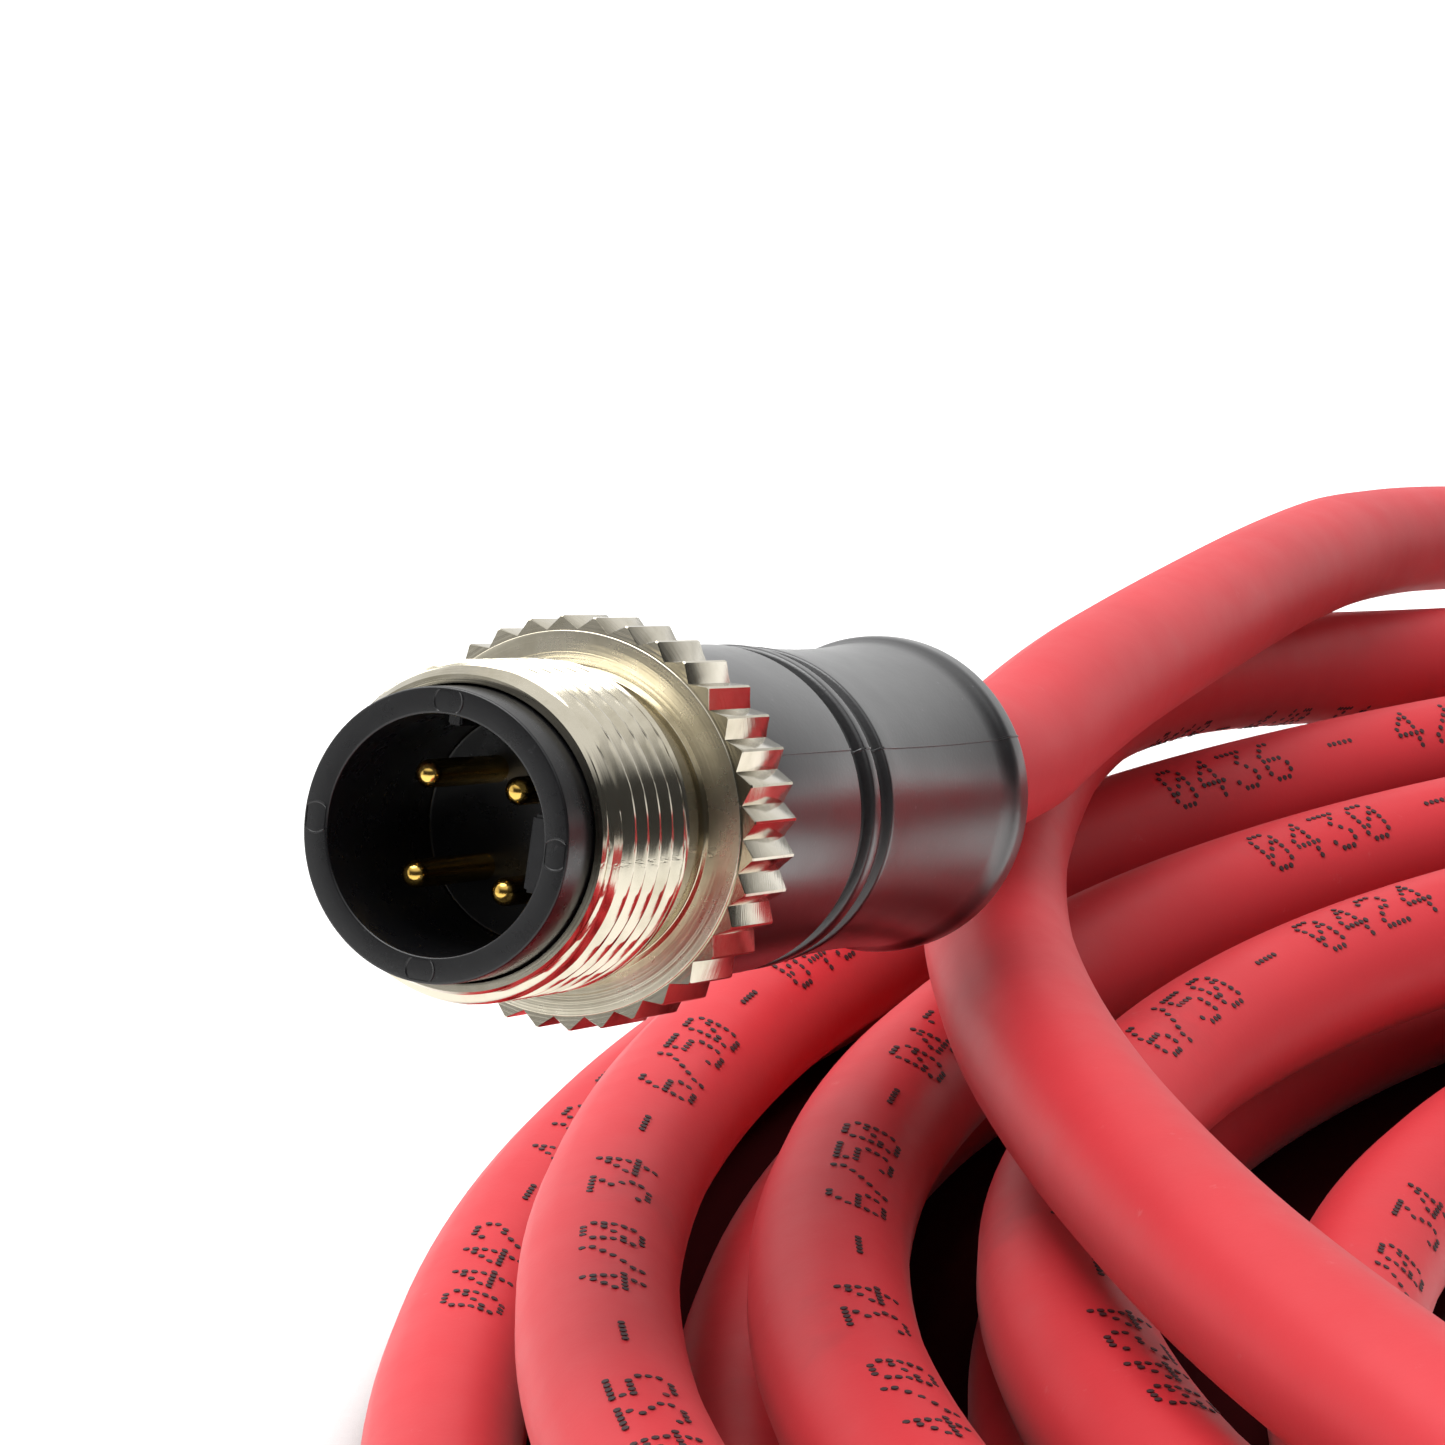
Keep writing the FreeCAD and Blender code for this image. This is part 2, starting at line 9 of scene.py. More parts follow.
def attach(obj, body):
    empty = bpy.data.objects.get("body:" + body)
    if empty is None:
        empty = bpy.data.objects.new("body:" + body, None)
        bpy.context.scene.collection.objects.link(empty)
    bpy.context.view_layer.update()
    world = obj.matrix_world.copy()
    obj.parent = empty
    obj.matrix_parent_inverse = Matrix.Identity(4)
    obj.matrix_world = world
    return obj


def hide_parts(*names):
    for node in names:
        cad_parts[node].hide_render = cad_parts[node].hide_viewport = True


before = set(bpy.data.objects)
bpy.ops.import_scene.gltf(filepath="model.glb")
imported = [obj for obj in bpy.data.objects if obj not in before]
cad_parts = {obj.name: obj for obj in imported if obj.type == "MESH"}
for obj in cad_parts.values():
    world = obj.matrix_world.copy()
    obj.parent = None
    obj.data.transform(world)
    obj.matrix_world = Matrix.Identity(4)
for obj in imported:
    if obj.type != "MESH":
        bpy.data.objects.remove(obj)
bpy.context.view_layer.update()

bl_info = {
    "name": "Coiled Connector Cable",
    "version": (1, 0, 0),
    "blender": (4, 5, 0),
    "location": "3D View > Sidebar > Cable",
    "description": "Builds a coiled round cable with a knurled circular connector at each end",
    "category": "Add Mesh",
}

MM = 0.001
ROOT = "cordset"
ENDS = ("a", "b")
MATH = "ShaderNodeMath"
MAP_RANGE = "ShaderNodeMapRange"

# The middle of the coil in the frame. From there, as in the CAD and in millimetres, each connector's
# nose; its axis, its roll in degrees, and how far behind the nose its cable is still straight
COIL_MIDDLE = Vector((-2.496619, -22.636206, 0.0))
CONNECTORS = {
    "a": {
        "nose": (-106.85, -19.1, 34.0), "axis": (0.411, 0.888, -0.206), "roll": 3.5, "straight": 51.0},
    "b": {
        "nose": (36.0, -38.0, 7.949), "axis": (0.358369, 0.933580, -0.033316), "roll": 9.0, "straight": 52.0},
}
# From a nose to the jacket's end inside the grip, and to where the cable leaves the grip
JACKET_END = 28.0

# The coil's reach from its middle at the left, near, right and far side of each turn
COIL_LOWER_FIRST = (72.0, 73.0, 78.0, 85.0)
COIL_LOWER_STEP = (12.0, 11.0, 12.0, 15.0)
COIL_UPPER_FIRST = (102.0, 92.0, 97.5, 100.0)
COIL_UPPER_STEP = (9.0, 9.0, 9.0, 15.0)
COIL_LOWER_TURNS = 3
COIL_UPPER_TURNS = 2
COIL_CLIMB_REACH = 113.0
COIL_LOWER_Z = 3.25
COIL_UPPER_Z = 9.7
COIL_POINTS = 24

# The free stretches' points, from the coil to connector A and from the coil to connector B
ROUTE_A = (
    (23.0, -72.2, 9.55), (48.5, -59.5, 9.7), (68.0, -36.0, 11.3), (79.5, -8.0, 14.2),
    (86.0, 22.0, 17.0), (84.0, 56.0, 16.7), (70.0, 88.0, 16.7), (38.0, 117.0, 9.5),
    (0.0, 128.0, 5.2), (-36.0, 124.0, 6.0), (-58.0, 107.0, 8.9), (-71.0, 86.0, 13.7),
    (-79.5, 64.0, 17.1), (-84.5, 40.0, 16.6), (-85.2, 18.0, 16.5), (-82.0, -4.0, 16.6),
    (-76.5, -24.0, 16.7), (-64.0, -52.0, 16.7), (-40.0, -79.0, 16.7), (-6.0, -93.0, 16.7),
    (32.0, -92.0, 16.7), (68.0, -74.0, 16.7), (93.0, -44.0, 16.7), (105.0, -6.0, 16.7),
    (107.0, 32.0, 17.2), (100.0, 68.0, 14.8), (84.0, 101.0, 8.5), (60.0, 130.0, 3.6),
    (26.0, 150.0, 3.4), (-14.0, 152.0, 5.4), (-44.0, 134.0, 11.0), (-58.5, 108.0, 16.5),
    (-66.0, 86.5, 19.3), (-74.2, 62.0, 21.7), (-80.6, 42.5, 23.4),
)
ROUTE_B = (
    (24.6, 64.5, 3.3),
    (42.4, 51.6, 3.4),
    (53.1, 32.4, 4.5),
)

# Where the print lies round the jacket: metres from connector A, degrees from the top
PRINT_LEAN = (
    (0.0, -130.0), (0.30, -90.0), (0.60, 150.0), (0.80, 150.0), (1.10, 20.0), (1.35, 16.0), (1.62, 10.0),
    (1.76, 8.0), (1.83, 30.0), (2.10, 20.0), (2.34, -8.0), (2.44, 38.0), (2.80, 10.0), (3.05, 8.0),
    (3.15, 40.0), (3.60, 100.0), (4.10, 30.0), (4.40, 20.0), (5.10, 60.0))
# Metres along the cable: to the first mark, from one mark to the next, and left bare at the far end
PRINT_FIRST = 0.058
PRINT_REPEAT = 0.100
PRINT_BARE = 0.14
PRINT_NUMBER = 412
# Dots from one figure to the next, and rows above the middle one
FIGURE_STEP = 6.6
FIGURE_MIDDLE = 3
INK_THICKNESS = 0.00003

# Dot-matrix figures of the printed metre marks, five dots wide and seven high
FIGURES = {
    "0": ("01110", "10001", "10011", "10101", "11001", "10001", "01110"),
    "1": ("00100", "01100", "00100", "00100", "00100", "00100", "01110"),
    "2": ("01110", "10001", "00001", "00110", "01000", "10000", "11111"),
    "3": ("11111", "00010", "00100", "00010", "00001", "10001", "01110"),
    "4": ("00010", "00110", "01010", "10010", "11111", "00010", "00010"),
    "5": ("11111", "10000", "11110", "00001", "00001", "10001", "01110"),
    "6": ("00110", "01000", "10000", "11110", "10001", "10001", "01110"),
    "7": ("11111", "00001", "00010", "00100", "01000", "01000", "01000"),
    "8": ("01110", "10001", "10001", "01110", "10001", "10001", "01110"),
    "9": ("01110", "10001", "10001", "01111", "00001", "00010", "01100"),
    "-": ("00000", "00000", "00000", "11111", "00000", "00000", "00000"),
    "/": ("00001", "00001", "00010", "00100", "01000", "10000", "10000"),
    " ": ("00000",) * 7,
}

# Profiles of a connector's pieces: distance from the nose and radius, in millimetres
CARRIER_PROFILE = (
    (7.6, 0), (7.6, 4.17), (0.0, 4.17), (0.0, 5.11), (10.75, 5.11), (10.75, 5.75),
    (12.5, 5.75), (12.5, 5.11), (15.2, 5.11), (15.2, 0))
EJECTOR_MARK = ((-0.004, 0.50), (-0.03, 0.545), (-0.03, 0.575), (0.1, 0.62))
CONTACT_PROFILE = (
    (2.5, 0.5), (10.6, 0.5), (10.6, 0.8), (11.8, 0.8), (11.8, 0.5), (15.2, 0.5), (15.2, 0.72),
    (18.2, 0.72), (18.2, 0.42), (15.8, 0.42), (15.8, 0))
GRIP_FRONT = (
    (14.15, 5.12), (14.15, 6.35), (22.75, 6.35), (22.9, 5.78), (23.95, 5.78), (24.05, 6.33),
    (24.75, 6.33), (24.9, 5.78), (25.95, 5.78), (26.08, 6.24), (26.3, 6.24))
GRIP_BACK = ((38.4, 6.30), (38.95, 6.55), (40.2, 6.55), (40.2, 3.28), (28.0, 3.28))
GRIP_INSIDE = ((28.0, 4.9), (15.3, 4.9), (15.3, 5.12))

# Low and high corner of the nose's main key, at its side, and of its small key, on top
MAIN_KEY = ((0.35, -4.5, -1.35), (7.7, -3.42, 1.35))
SMALL_KEY = ((0.35, -0.25, 3.82), (7.7, 0.25, 4.5))
RIM_RADIUS = 4.64

# The contacts: how many, their tips' distance from the nose, their radius, and their circle's radius
CONTACTS = 4
CONTACT_TIP = 2.0
CONTACT_RADIUS = 0.5
CONTACT_CIRCLE = 2.5

# The coupling screw: from the nose to its thread's two ends and to its flat front face
THREAD_FRONT = 1.88
THREAD_BACK = 7.85
SCREW_FACE = 10.07
# Its least radius at the bevelled tip, the bevel's length and rise, and the bore's radii
THREAD_TIP_RADIUS = 5.5
THREAD_BEVEL = 0.9
THREAD_BEVEL_RISE = 0.5
SCREW_BORE = 5.19
SCREW_CHAMBER = 5.83
# How deep the thread is cut, and how far apart the rows are that it is cut from
THREAD_DEPTH = 0.40
THREAD_ROW = 0.05
# The knurl's teeth: distance and radius of the tip from front to back, the radii where a tooth meets
# the screw and of its foot inside, and half the width of its tip
TOOTH_TIPS = ((10.2, 7.45), (10.25, 7.5), (13.8, 7.5), (13.86, 7.42))
TOOTH_ROOT = 6.98
TOOTH_FOOT = 6.8
TOOTH_FLAT = 0.05

# The grip's seam: its outline across and above the grip, its turn in degrees from the connector's
# side, and how far back and how far in it goes
SEAM = ((-0.07, -0.1), (-0.035, 0.045), (0.035, 0.045), (0.07, -0.1))
SEAM_TURN = -31
SEAM_END = 40.1
SEAM_INNER_RADIUS = 5.5

# Where the screw's flat front lies in the map of its turning, and half its width there
FACE_MIDDLE = 16.42
FACE_HALF = 0.6

# Finishes inside the grip: two shades, the size in millimetres of their patches, roughness, metallic
HIDDEN_FINISHES = {
    "wire_1": ("Polyethylene, extruded yellow", "#D9A911", "#E8BE2C", 1.5, 0.42, 0.0),
    "wire_2": ("Polyethylene, extruded white", "#D8D6CF", "#ECEAE4", 1.5, 0.42, 0.0),
    "wire_3": ("Polyethylene, extruded orange", "#D8641A", "#E97B2E", 1.5, 0.42, 0.0),
    "wire_4": ("Polyethylene, extruded blue", "#1D3F94", "#2B55B5", 1.5, 0.42, 0.0),
    "core_mould": ("Polyamide, moulded natural", "#B9B19B", "#D2CBB6", 2.0, 0.5, 0.0),
    "shield_sleeve": ("Brass, drawn and tinned", "#A7A49B", "#C8C5BC", 1.2, 0.33, 1.0),
    "crimp_ferrule": ("Brass, crimped and tinned", "#A19D92", "#BFBBB0", 0.8, 0.38, 1.0),
}

# The camera from the middle of the coil in millimetres, and its degrees below level
CAMERA_PLACE = Vector((-97.0, -180.0, 79.6))
CAMERA_DOWN = 14.5

# Each lamp's name, place in metres, size, and share of the light; and what they shine at
LAMPS = (
    ("soft_light_overhead", (-0.25, -0.05, 0.75), 0.7, 1.0),
    ("soft_light_left", (-0.60, 0.25, 0.55), 0.45, 0.35))
LAMPS_AIM = Vector((-0.09, 0.0, 0.02))

# Brightness by direction: an axis, from where to where on it, and the brightness at each. The room
# behind the camera is darker than the white backdrop and the light overhead. Metal mirrors the
# backdrop, the ceiling and a pale wall at the left, with dark between them
ROOM = {
    "behind": ("Y", -0.95, -0.15, 0.40, 1.0),
    "overhead": ("Z", 0.35, 0.75, 0.0, 1.0),
    "backdrop": ("Y", 0.50, 0.85, 0.05, 1.0),
    "ceiling": ("Z", 0.45, 0.70, 0.0, 1.0),
    "wall": ("X", -0.70, -0.86, 0.0, 1.0),
}
ROOM_LIGHT = 0.64
WHITE = (1, 1, 1, 1)
FLOOR_HALF = 6
FLOOR_DROP = 0.0001


def linear(hex_colour):
    """Linear colour of an sRGB hex value."""
    channels = [int(hex_colour[i:i + 2], 16) / 255 for i in (1, 3, 5)]
    return tuple(c / 12.92 if c <= 0.04045 else ((c + 0.055) / 1.055) ** 2.4 for c in channels) + (1.0,)


def add(tree, kind, values=None, links=None, **settings):
    """Adds a node with its settings, its sockets' values and the links into it.

    Map Range takes its value, from low, from high, to low and to high as sockets 0 to 4.
    """
    node = tree.nodes.new(kind)
    for name, value in settings.items():
        setattr(node, name, value)
    for name, value in (values or {}).items():
        node.inputs[name].default_value = value
    for name, source in (links or {}).items():
        tree.links.new(source, node.inputs[name])
    return node


def linked(name, data):
    """New object in the scene."""
    thing = bpy.data.objects.new(name, data)
    bpy.context.scene.collection.objects.link(thing)
    return thing


class CableSizes(bpy.types.PropertyGroup):
    """Sizes and colours of the cable"""

    diameter: FloatProperty(
        name="Diameter", description="Outside of the jacket", default=0.0065, unit="LENGTH")
    colour: FloatVectorProperty(
        name="Jacket", description="Colour of the jacket", subtype="COLOR", default=linear("#CF212D")[:3])
    dot_size: FloatProperty(
        name="Print dot", description="Width of one printed dot", default=0.00030, unit="LENGTH")
    dot_pitch: FloatProperty(
        name="Print pitch", description="Spacing of the printed dots", default=0.00040, unit="LENGTH")


class ConnectorSizes(bpy.types.PropertyGroup):
    """Sizes and colours of the connectors, which both ends share"""

    thread_radius: FloatProperty(
        name="Thread radius", description="Over the thread's crests", default=0.006, unit="LENGTH")
    thread_pitch: FloatProperty(
        name="Thread pitch", description="From crest to crest", default=0.001, unit="LENGTH")
    knurl_teeth: IntProperty(name="Knurl teeth", description="Teeth round the coupling screw", default=36)
    plating: FloatVectorProperty(
        name="Plating", description="Colour of the screw's plating", subtype="COLOR",
        default=linear("#CFC8B6")[:3])
    contacts: FloatVectorProperty(
        name="Contacts", description="Colour of the contacts' plating", subtype="COLOR",
        default=linear("#EBC368")[:3])
    plastic: FloatVectorProperty(
        name="Plastic", description="Colour of the carrier and the grip", subtype="COLOR",
        default=linear("#101012")[:3])


class StageSizes(bpy.types.PropertyGroup):
    """Camera and light"""

    lens: FloatProperty(name="Lens", description="Focal length in millimetres", default=122.0)
    light: FloatProperty(name="Light", description="Power of the soft light overhead", default=5.6)


def connector_matrix(end):
    """Takes a connector's own frame, +X rearwards from the nose in millimetres, to its place."""
    facts = CONNECTORS[end]
    along = Vector(facts["axis"]).normalized()
    up = (Vector((0, 0, 1)) - along * along.z).normalized()
    left = up.cross(along)
    turn = Matrix((along, left, up)).transposed().to_4x4()
    roll = Matrix.Rotation(math.radians(facts["roll"]), 4, "X")
    place = Matrix.Translation((Vector(facts["nose"]) + COIL_MIDDLE) * MM)
    return place @ turn @ roll @ Matrix.Scale(MM, 4)


def paint(mesh, material):
    """Gives a mesh one material."""
    mesh.materials.clear()
    mesh.materials.append(material)


def show(mesh, name, end, material, nodes):
    """Puts a finished mesh in the scene as the piece that stands for the named CAD nodes."""
    body = f"screw_{end}" if name.startswith("coupling_screw") else ROOT
    piece = linked(name, mesh)
    paint(mesh, material)
    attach(piece, body)
    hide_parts(*nodes)


def dress(name, material):
    """Gives the CAD nodes of both ends their material."""
    for end in ENDS:
        paint(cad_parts[f"{name}_{end}"].data, material)


def rounded(corners, radius, steps=4):
    """Profile points with each corner turned into a small arc, no larger than its sides allow."""
    most = 0.45
    points = [corners[0]]
    for before, corner, after in zip(corners, corners[1:], corners[2:]):
        a, b, c = Vector(before), Vector(corner), Vector(after)
        back, ahead = a - b, c - b
        reach = min(radius, most * back.length, most * ahead.length)
        start, end = b + back.normalized() * reach, b + ahead.normalized() * reach
        for i in range(steps + 1):
            t = i / steps
            points.append(tuple(start * (1 - t) ** 2 + b * 2 * t * (1 - t) + end * t * t))
    points.append(corners[-1])
    return points


def lathe(profile, sides, closed=False):
    """bmesh turned about the X axis from (distance, radius) points.

    Its map of the turning has distance plus radius one way and the angle the other.
    """
    made = bmesh.new()
    turning = made.loops.layers.uv.new("Turning")
    rings = []
    for x, r in profile:
        if r < 1e-5:
            rings.append([made.verts.new((x, 0, 0))])
            continue
        ring = []
        for i in range(sides):
            angle = 2 * math.pi * i / sides
            ring.append(made.verts.new((x, r * math.cos(angle), r * math.sin(angle))))
        rings.append(ring)
    pairs = list(zip(rings, rings[1:]))
    if closed:
        pairs.append((rings[-1], rings[0]))
    for first, second in pairs:
        for i in range(sides):
            j = (i + 1) % sides
            corners = []
            for vert in (first[i % len(first)], first[j % len(first)],
                         second[j % len(second)], second[i % len(second)]):
                if vert not in corners:
                    corners.append(vert)
            if len(corners) > 2:
                made.faces.new(corners)
    bmesh.ops.recalc_face_normals(made, faces=made.faces)
    for face in made.faces:
        for loop in face.loops:
            x, y, z = loop.vert.co
            loop[turning].uv = (x + math.hypot(y, z), math.atan2(z, y))
    return made


def block(low, high, bevel):
    """bmesh of a small box with bevelled edges."""
    made = bmesh.new()
    bmesh.ops.create_cube(made, size=1)
    for vert in made.verts:
        for axis in range(3):
            vert.co[axis] = low[axis] if vert.co[axis] < 0 else high[axis]
    bmesh.ops.bevel(made, geom=made.edges[:], offset=bevel, segments=2, affect="EDGES")
    return made


def loft(outlines):
    """bmesh through a row of like outlines, closed at both ends."""
    made = bmesh.new()
    rows = [[made.verts.new(point) for point in outline] for outline in outlines]
    for first, second in zip(rows, rows[1:]):
        for i in range(len(first)):
            j = (i + 1) % len(first)
            made.faces.new((first[i], first[j], second[j], second[i]))
    made.faces.new(rows[0][::-1])
    made.faces.new(rows[-1])
    bmesh.ops.recalc_face_normals(made, faces=made.faces)
    return made


def join(parts):
    """One bmesh of several."""
    whole = bmesh.new()
    for part in parts:
        mesh = bpy.data.meshes.new("part")
        part.to_mesh(mesh)
        part.free()
        whole.from_mesh(mesh)
        bpy.data.meshes.remove(mesh)
    return whole


def to_mesh(made, name, matrix=None, sharp=32.0):
    """Mesh of a bmesh, smooth but for its sharp edges, moved by the matrix."""
    mesh = bpy.data.meshes.new(name)
    made.to_mesh(mesh)
    made.free()
    for polygon in mesh.polygons:
        polygon.use_smooth = True
    mesh.set_sharp_from_angle(angle=math.radians(sharp))
    if matrix is not None:
        mesh.transform(matrix)
    return mesh


def grown(tree, mesh, values):
    """Plain mesh that a Geometry Nodes tree makes from a mesh, with its named inputs set."""
    carrier = linked("carrier", mesh)
    modifier = carrier.modifiers.new("Grow", "NODES")
    modifier.node_group = tree
    for item in tree.interface.items_tree:
        if item.item_type == "SOCKET" and item.in_out == "INPUT" and item.name in values:
            modifier[item.identifier] = values[item.name]
    bpy.context.view_layer.update()
    evaluated = carrier.evaluated_get(bpy.context.evaluated_depsgraph_get())
    result = bpy.data.meshes.new_from_object(evaluated)
    bpy.data.objects.remove(carrier)
    return result


def node_tree(name, inputs):
    """Empty Geometry Nodes tree, and its inputs: a geometry, the named ones and a material."""
    tree = bpy.data.node_groups.new(name, "GeometryNodeTree")
    for socket_name, kind in {"Geometry": "Geometry", **inputs, "Material": "Material"}.items():
        tree.interface.new_socket(socket_name, in_out="INPUT", socket_type=f"NodeSocket{kind}")
    tree.interface.new_socket("Geometry", in_out="OUTPUT", socket_type="NodeSocketGeometry")
    return tree, add(tree, "NodeGroupInput").outputs


def end_tree(tree, geometry, material):
    """Ends a tree: real meshes, in their material."""
    real = add(tree, "GeometryNodeRealizeInstances", links={"Geometry": geometry})
    painted = add(tree, "GeometryNodeSetMaterial", links={"Geometry": real.outputs[0], "Material": material})
    add(tree, "NodeGroupOutput", links={0: painted.outputs[0]})


def ring_of_teeth():
    """Copies of one tooth, evenly round the X axis."""
    tree, given = node_tree("Ring of teeth", {"Count": "Int"})
    points = add(tree, "GeometryNodePoints", links={"Count": given["Count"]})
    index = add(tree, "GeometryNodeInputIndex")
    step = add(tree, MATH, {0: 2 * math.pi}, {1: given["Count"]}, operation="DIVIDE")
    angle = add(tree, MATH, links={0: index.outputs[0], 1: step.outputs[0]}, operation="MULTIPLY")
    turn = add(tree, "ShaderNodeCombineXYZ", links={"X": angle.outputs[0]})
    copies = add(tree, "GeometryNodeInstanceOnPoints", links={
        "Points": points.outputs[0], "Instance": given["Geometry"], "Rotation": turn.outputs[0]})
    end_tree(tree, copies.outputs[0], given["Material"])
    return tree


def screw_thread():
    """Cuts a helical thread into a turned piece, up to its back chamfer and no deeper than its bevel."""
    tree, given = node_tree("Screw thread", {
        "Crest radius": "Float", "Depth": "Float", "Pitch": "Float", "Back": "Float"})
    place = add(tree, "GeometryNodeInputPosition")
    apart = add(tree, "ShaderNodeSeparateXYZ", links={0: place.outputs[0]})
    x, y, z = apart.outputs
    angle = add(tree, MATH, links={0: z, 1: y}, operation="ARCTAN2")
    turn = add(tree, MATH, {1: 2 * math.pi}, {0: angle.outputs[0]}, operation="DIVIDE")
    pitches = add(tree, MATH, links={0: x, 1: given["Pitch"]}, operation="DIVIDE")
    helix = add(tree, MATH, links={0: pitches.outputs[0], 1: turn.outputs[0]},
                operation="SUBTRACT")
    from_crest = add(tree, MATH, {1: 0.5}, {0: helix.outputs[0]}, operation="PINGPONG")
    # A narrow crest, two flanks and a wide valley, in pitches from the crest's middle
    sunk = add(tree, MAP_RANGE, {1: 0.07, 2: 0.30, 3: 0.0, 4: 1.0}, {0: from_crest.outputs[0]})
    # It runs out over its last half millimetre
    left = add(tree, MATH, links={0: given["Back"], 1: x}, operation="SUBTRACT")
    fade = add(tree, MAP_RANGE, {1: 0.0, 2: 0.5, 3: 0.0, 4: 1.0}, {0: left.outputs[0]})
    share = add(tree, MATH, links={0: sunk.outputs[0], 1: fade.outputs[0]}, operation="MULTIPLY")
    cut = add(tree, MATH, links={0: share.outputs[0], 1: given["Depth"]}, operation="MULTIPLY")
    threaded = add(tree, MATH, links={0: given["Crest radius"], 1: cut.outputs[0]},
                   operation="SUBTRACT")
    flat = add(tree, "ShaderNodeCombineXYZ", links={"Y": y, "Z": z})
    span = add(tree, "ShaderNodeVectorMath", links={0: flat.outputs[0]}, operation="LENGTH")
    radius = span.outputs["Value"]
    least = add(tree, MATH, links={0: radius, 1: threaded.outputs[0]}, operation="MINIMUM")
    ratio = add(tree, MATH, links={0: least.outputs[0], 1: radius}, operation="DIVIDE")
    scale = add(tree, "ShaderNodeCombineXYZ", {"X": 1.0}, {"Y": ratio.outputs[0], "Z": ratio.outputs[0]})
    moved = add(tree, "ShaderNodeVectorMath", links={0: place.outputs[0], 1: scale.outputs[0]},
                operation="MULTIPLY")
    ahead = add(tree, MATH, {1: 0.0}, {0: left.outputs[0]}, operation="GREATER_THAN")
    shaped = add(tree, "GeometryNodeSetPosition", links={
        "Geometry": given["Geometry"], "Selection": ahead.outputs[0], "Position": moved.outputs[0]})
    end_tree(tree, shaped.outputs[0], given["Material"])
    return tree


def printed_dots():
    """A flat dot on every point, facing along the point's normal."""
    tree, given = node_tree("Printed dots", {"Dot radius": "Float", "Thickness": "Float"})
    outward = add(tree, "GeometryNodeInputNamedAttribute", {"Name": "outward"}, data_type="FLOAT_VECTOR")
    turn = add(tree, "FunctionNodeAlignRotationToVector", links={"Vector": outward.outputs[0]}, axis="Z")
    dot = add(tree, "GeometryNodeMeshCylinder", {"Vertices": 7}, {
        "Radius": given["Dot radius"], "Depth": given["Thickness"]})
    copies = add(tree, "GeometryNodeInstanceOnPoints", links={
        "Points": given["Geometry"], "Instance": dot.outputs[0], "Rotation": turn.outputs[0]})
    end_tree(tree, copies.outputs[0], given["Material"])
    return tree


def new_material(name):
    """Empty node material with its shader, and the object's own coordinates."""
    material = bpy.data.materials.new(name)
    material.use_nodes = True
    tree = material.node_tree
    shader = tree.nodes["Principled BSDF"]
    return material, tree, shader, add(tree, "ShaderNodeTexCoord").outputs["Object"]


def grain(tree, here, size_mm, detail=3.0, roughness=0.6):
    """Noise whose features are about size_mm across."""
    noise = add(tree, "ShaderNodeTexNoise", {
        "Scale": 1 / (size_mm * MM), "Detail": detail, "Roughness": roughness}, {"Vector": here})
    return noise.outputs[0]


def ramp(tree, source, stops):
    """Colour from a ramp through (position, colour) stops."""
    node = add(tree, "ShaderNodeValToRGB", links={"Fac": source})
    while len(node.color_ramp.elements) < len(stops):
        node.color_ramp.elements.new(0.5)
    for element, (position, colour) in zip(node.color_ramp.elements, stops):
        element.position = position
        element.color = colour
    return node.outputs[0]


def spots(tree, noise, under, hex_colour, start, end, most):
    """Lays spots of a colour over another: none where the noise is at start, the most at end."""
    mask = ramp(tree, noise, ((start, (0, 0, 0, 1)), (end, (most, most, most, 1))))
    mix = add(tree, "ShaderNodeMix", {7: linear(hex_colour)}, {0: mask, 6: under}, data_type="RGBA")
    return mix.outputs[2]


def finish(tree, shader, here, gloss_mm, low, high, grain_mm, strength, depth):
    """Roughness from low to high in patches of gloss_mm, and a relief of grain_mm as made."""
    rough = add(tree, MAP_RANGE, {3: low, 4: high}, {0: grain(tree, here, gloss_mm, 4)})
    tree.links.new(rough.outputs[0], shader.inputs["Roughness"])
    bump = add(tree, "ShaderNodeBump", {"Strength": strength, "Distance": depth}, {
        "Height": grain(tree, here, grain_mm)})
    tree.links.new(bump.outputs[0], shader.inputs["Normal"])


def jacket_material(colour):
    """Extruded matte polyurethane: even red, velvety at the edges, dusty and ink-smeared in places."""
    material, tree, shader, here = new_material("Polyurethane, extruded red")
    deeper = (*(c * 0.88 for c in colour), 1.0)
    mottled = ramp(tree, grain(tree, here, 26, 4), ((0.35, deeper), (0.65, (*colour, 1.0))))
    smeared = spots(tree, grain(tree, here, 21, 5, 0.65), mottled, "#47272B", start=0.63, end=0.78, most=0.34)
    dusty = spots(tree, grain(tree, here, 1.7, 6, 0.7), smeared, "#D9A5A6", start=0.66, end=0.84, most=0.28)
    tree.links.new(dusty, shader.inputs["Base Color"])
    # A faint sheen makes the edges velvety
    shader.inputs["Sheen Weight"].default_value = 0.12
    shader.inputs["Sheen Roughness"].default_value = 0.45
    shader.inputs["Sheen Tint"].default_value = linear("#FFDADA")
    # Extruder grain of about 0.08 mm, drawn at 0.25 mm so that it shows
    finish(tree, shader, here, gloss_mm=3.5, low=0.46, high=0.66, grain_mm=0.25, strength=0.12, depth=0.00004)
    return material


def ink_material():
    """Black ink-jet ink on polyurethane: thin, half rubbed off, with the red showing through."""
    material, tree, shader, here = new_material("Ink, printed black")
    worn = ramp(tree, grain(tree, here, 1.4, 4), (
        (0.35, linear("#2A1518")), (0.62, linear("#3B1A1E")), (0.80, linear("#8A2730"))))
    tree.links.new(worn, shader.inputs["Base Color"])
    shader.inputs["Roughness"].default_value = 0.6
    return material


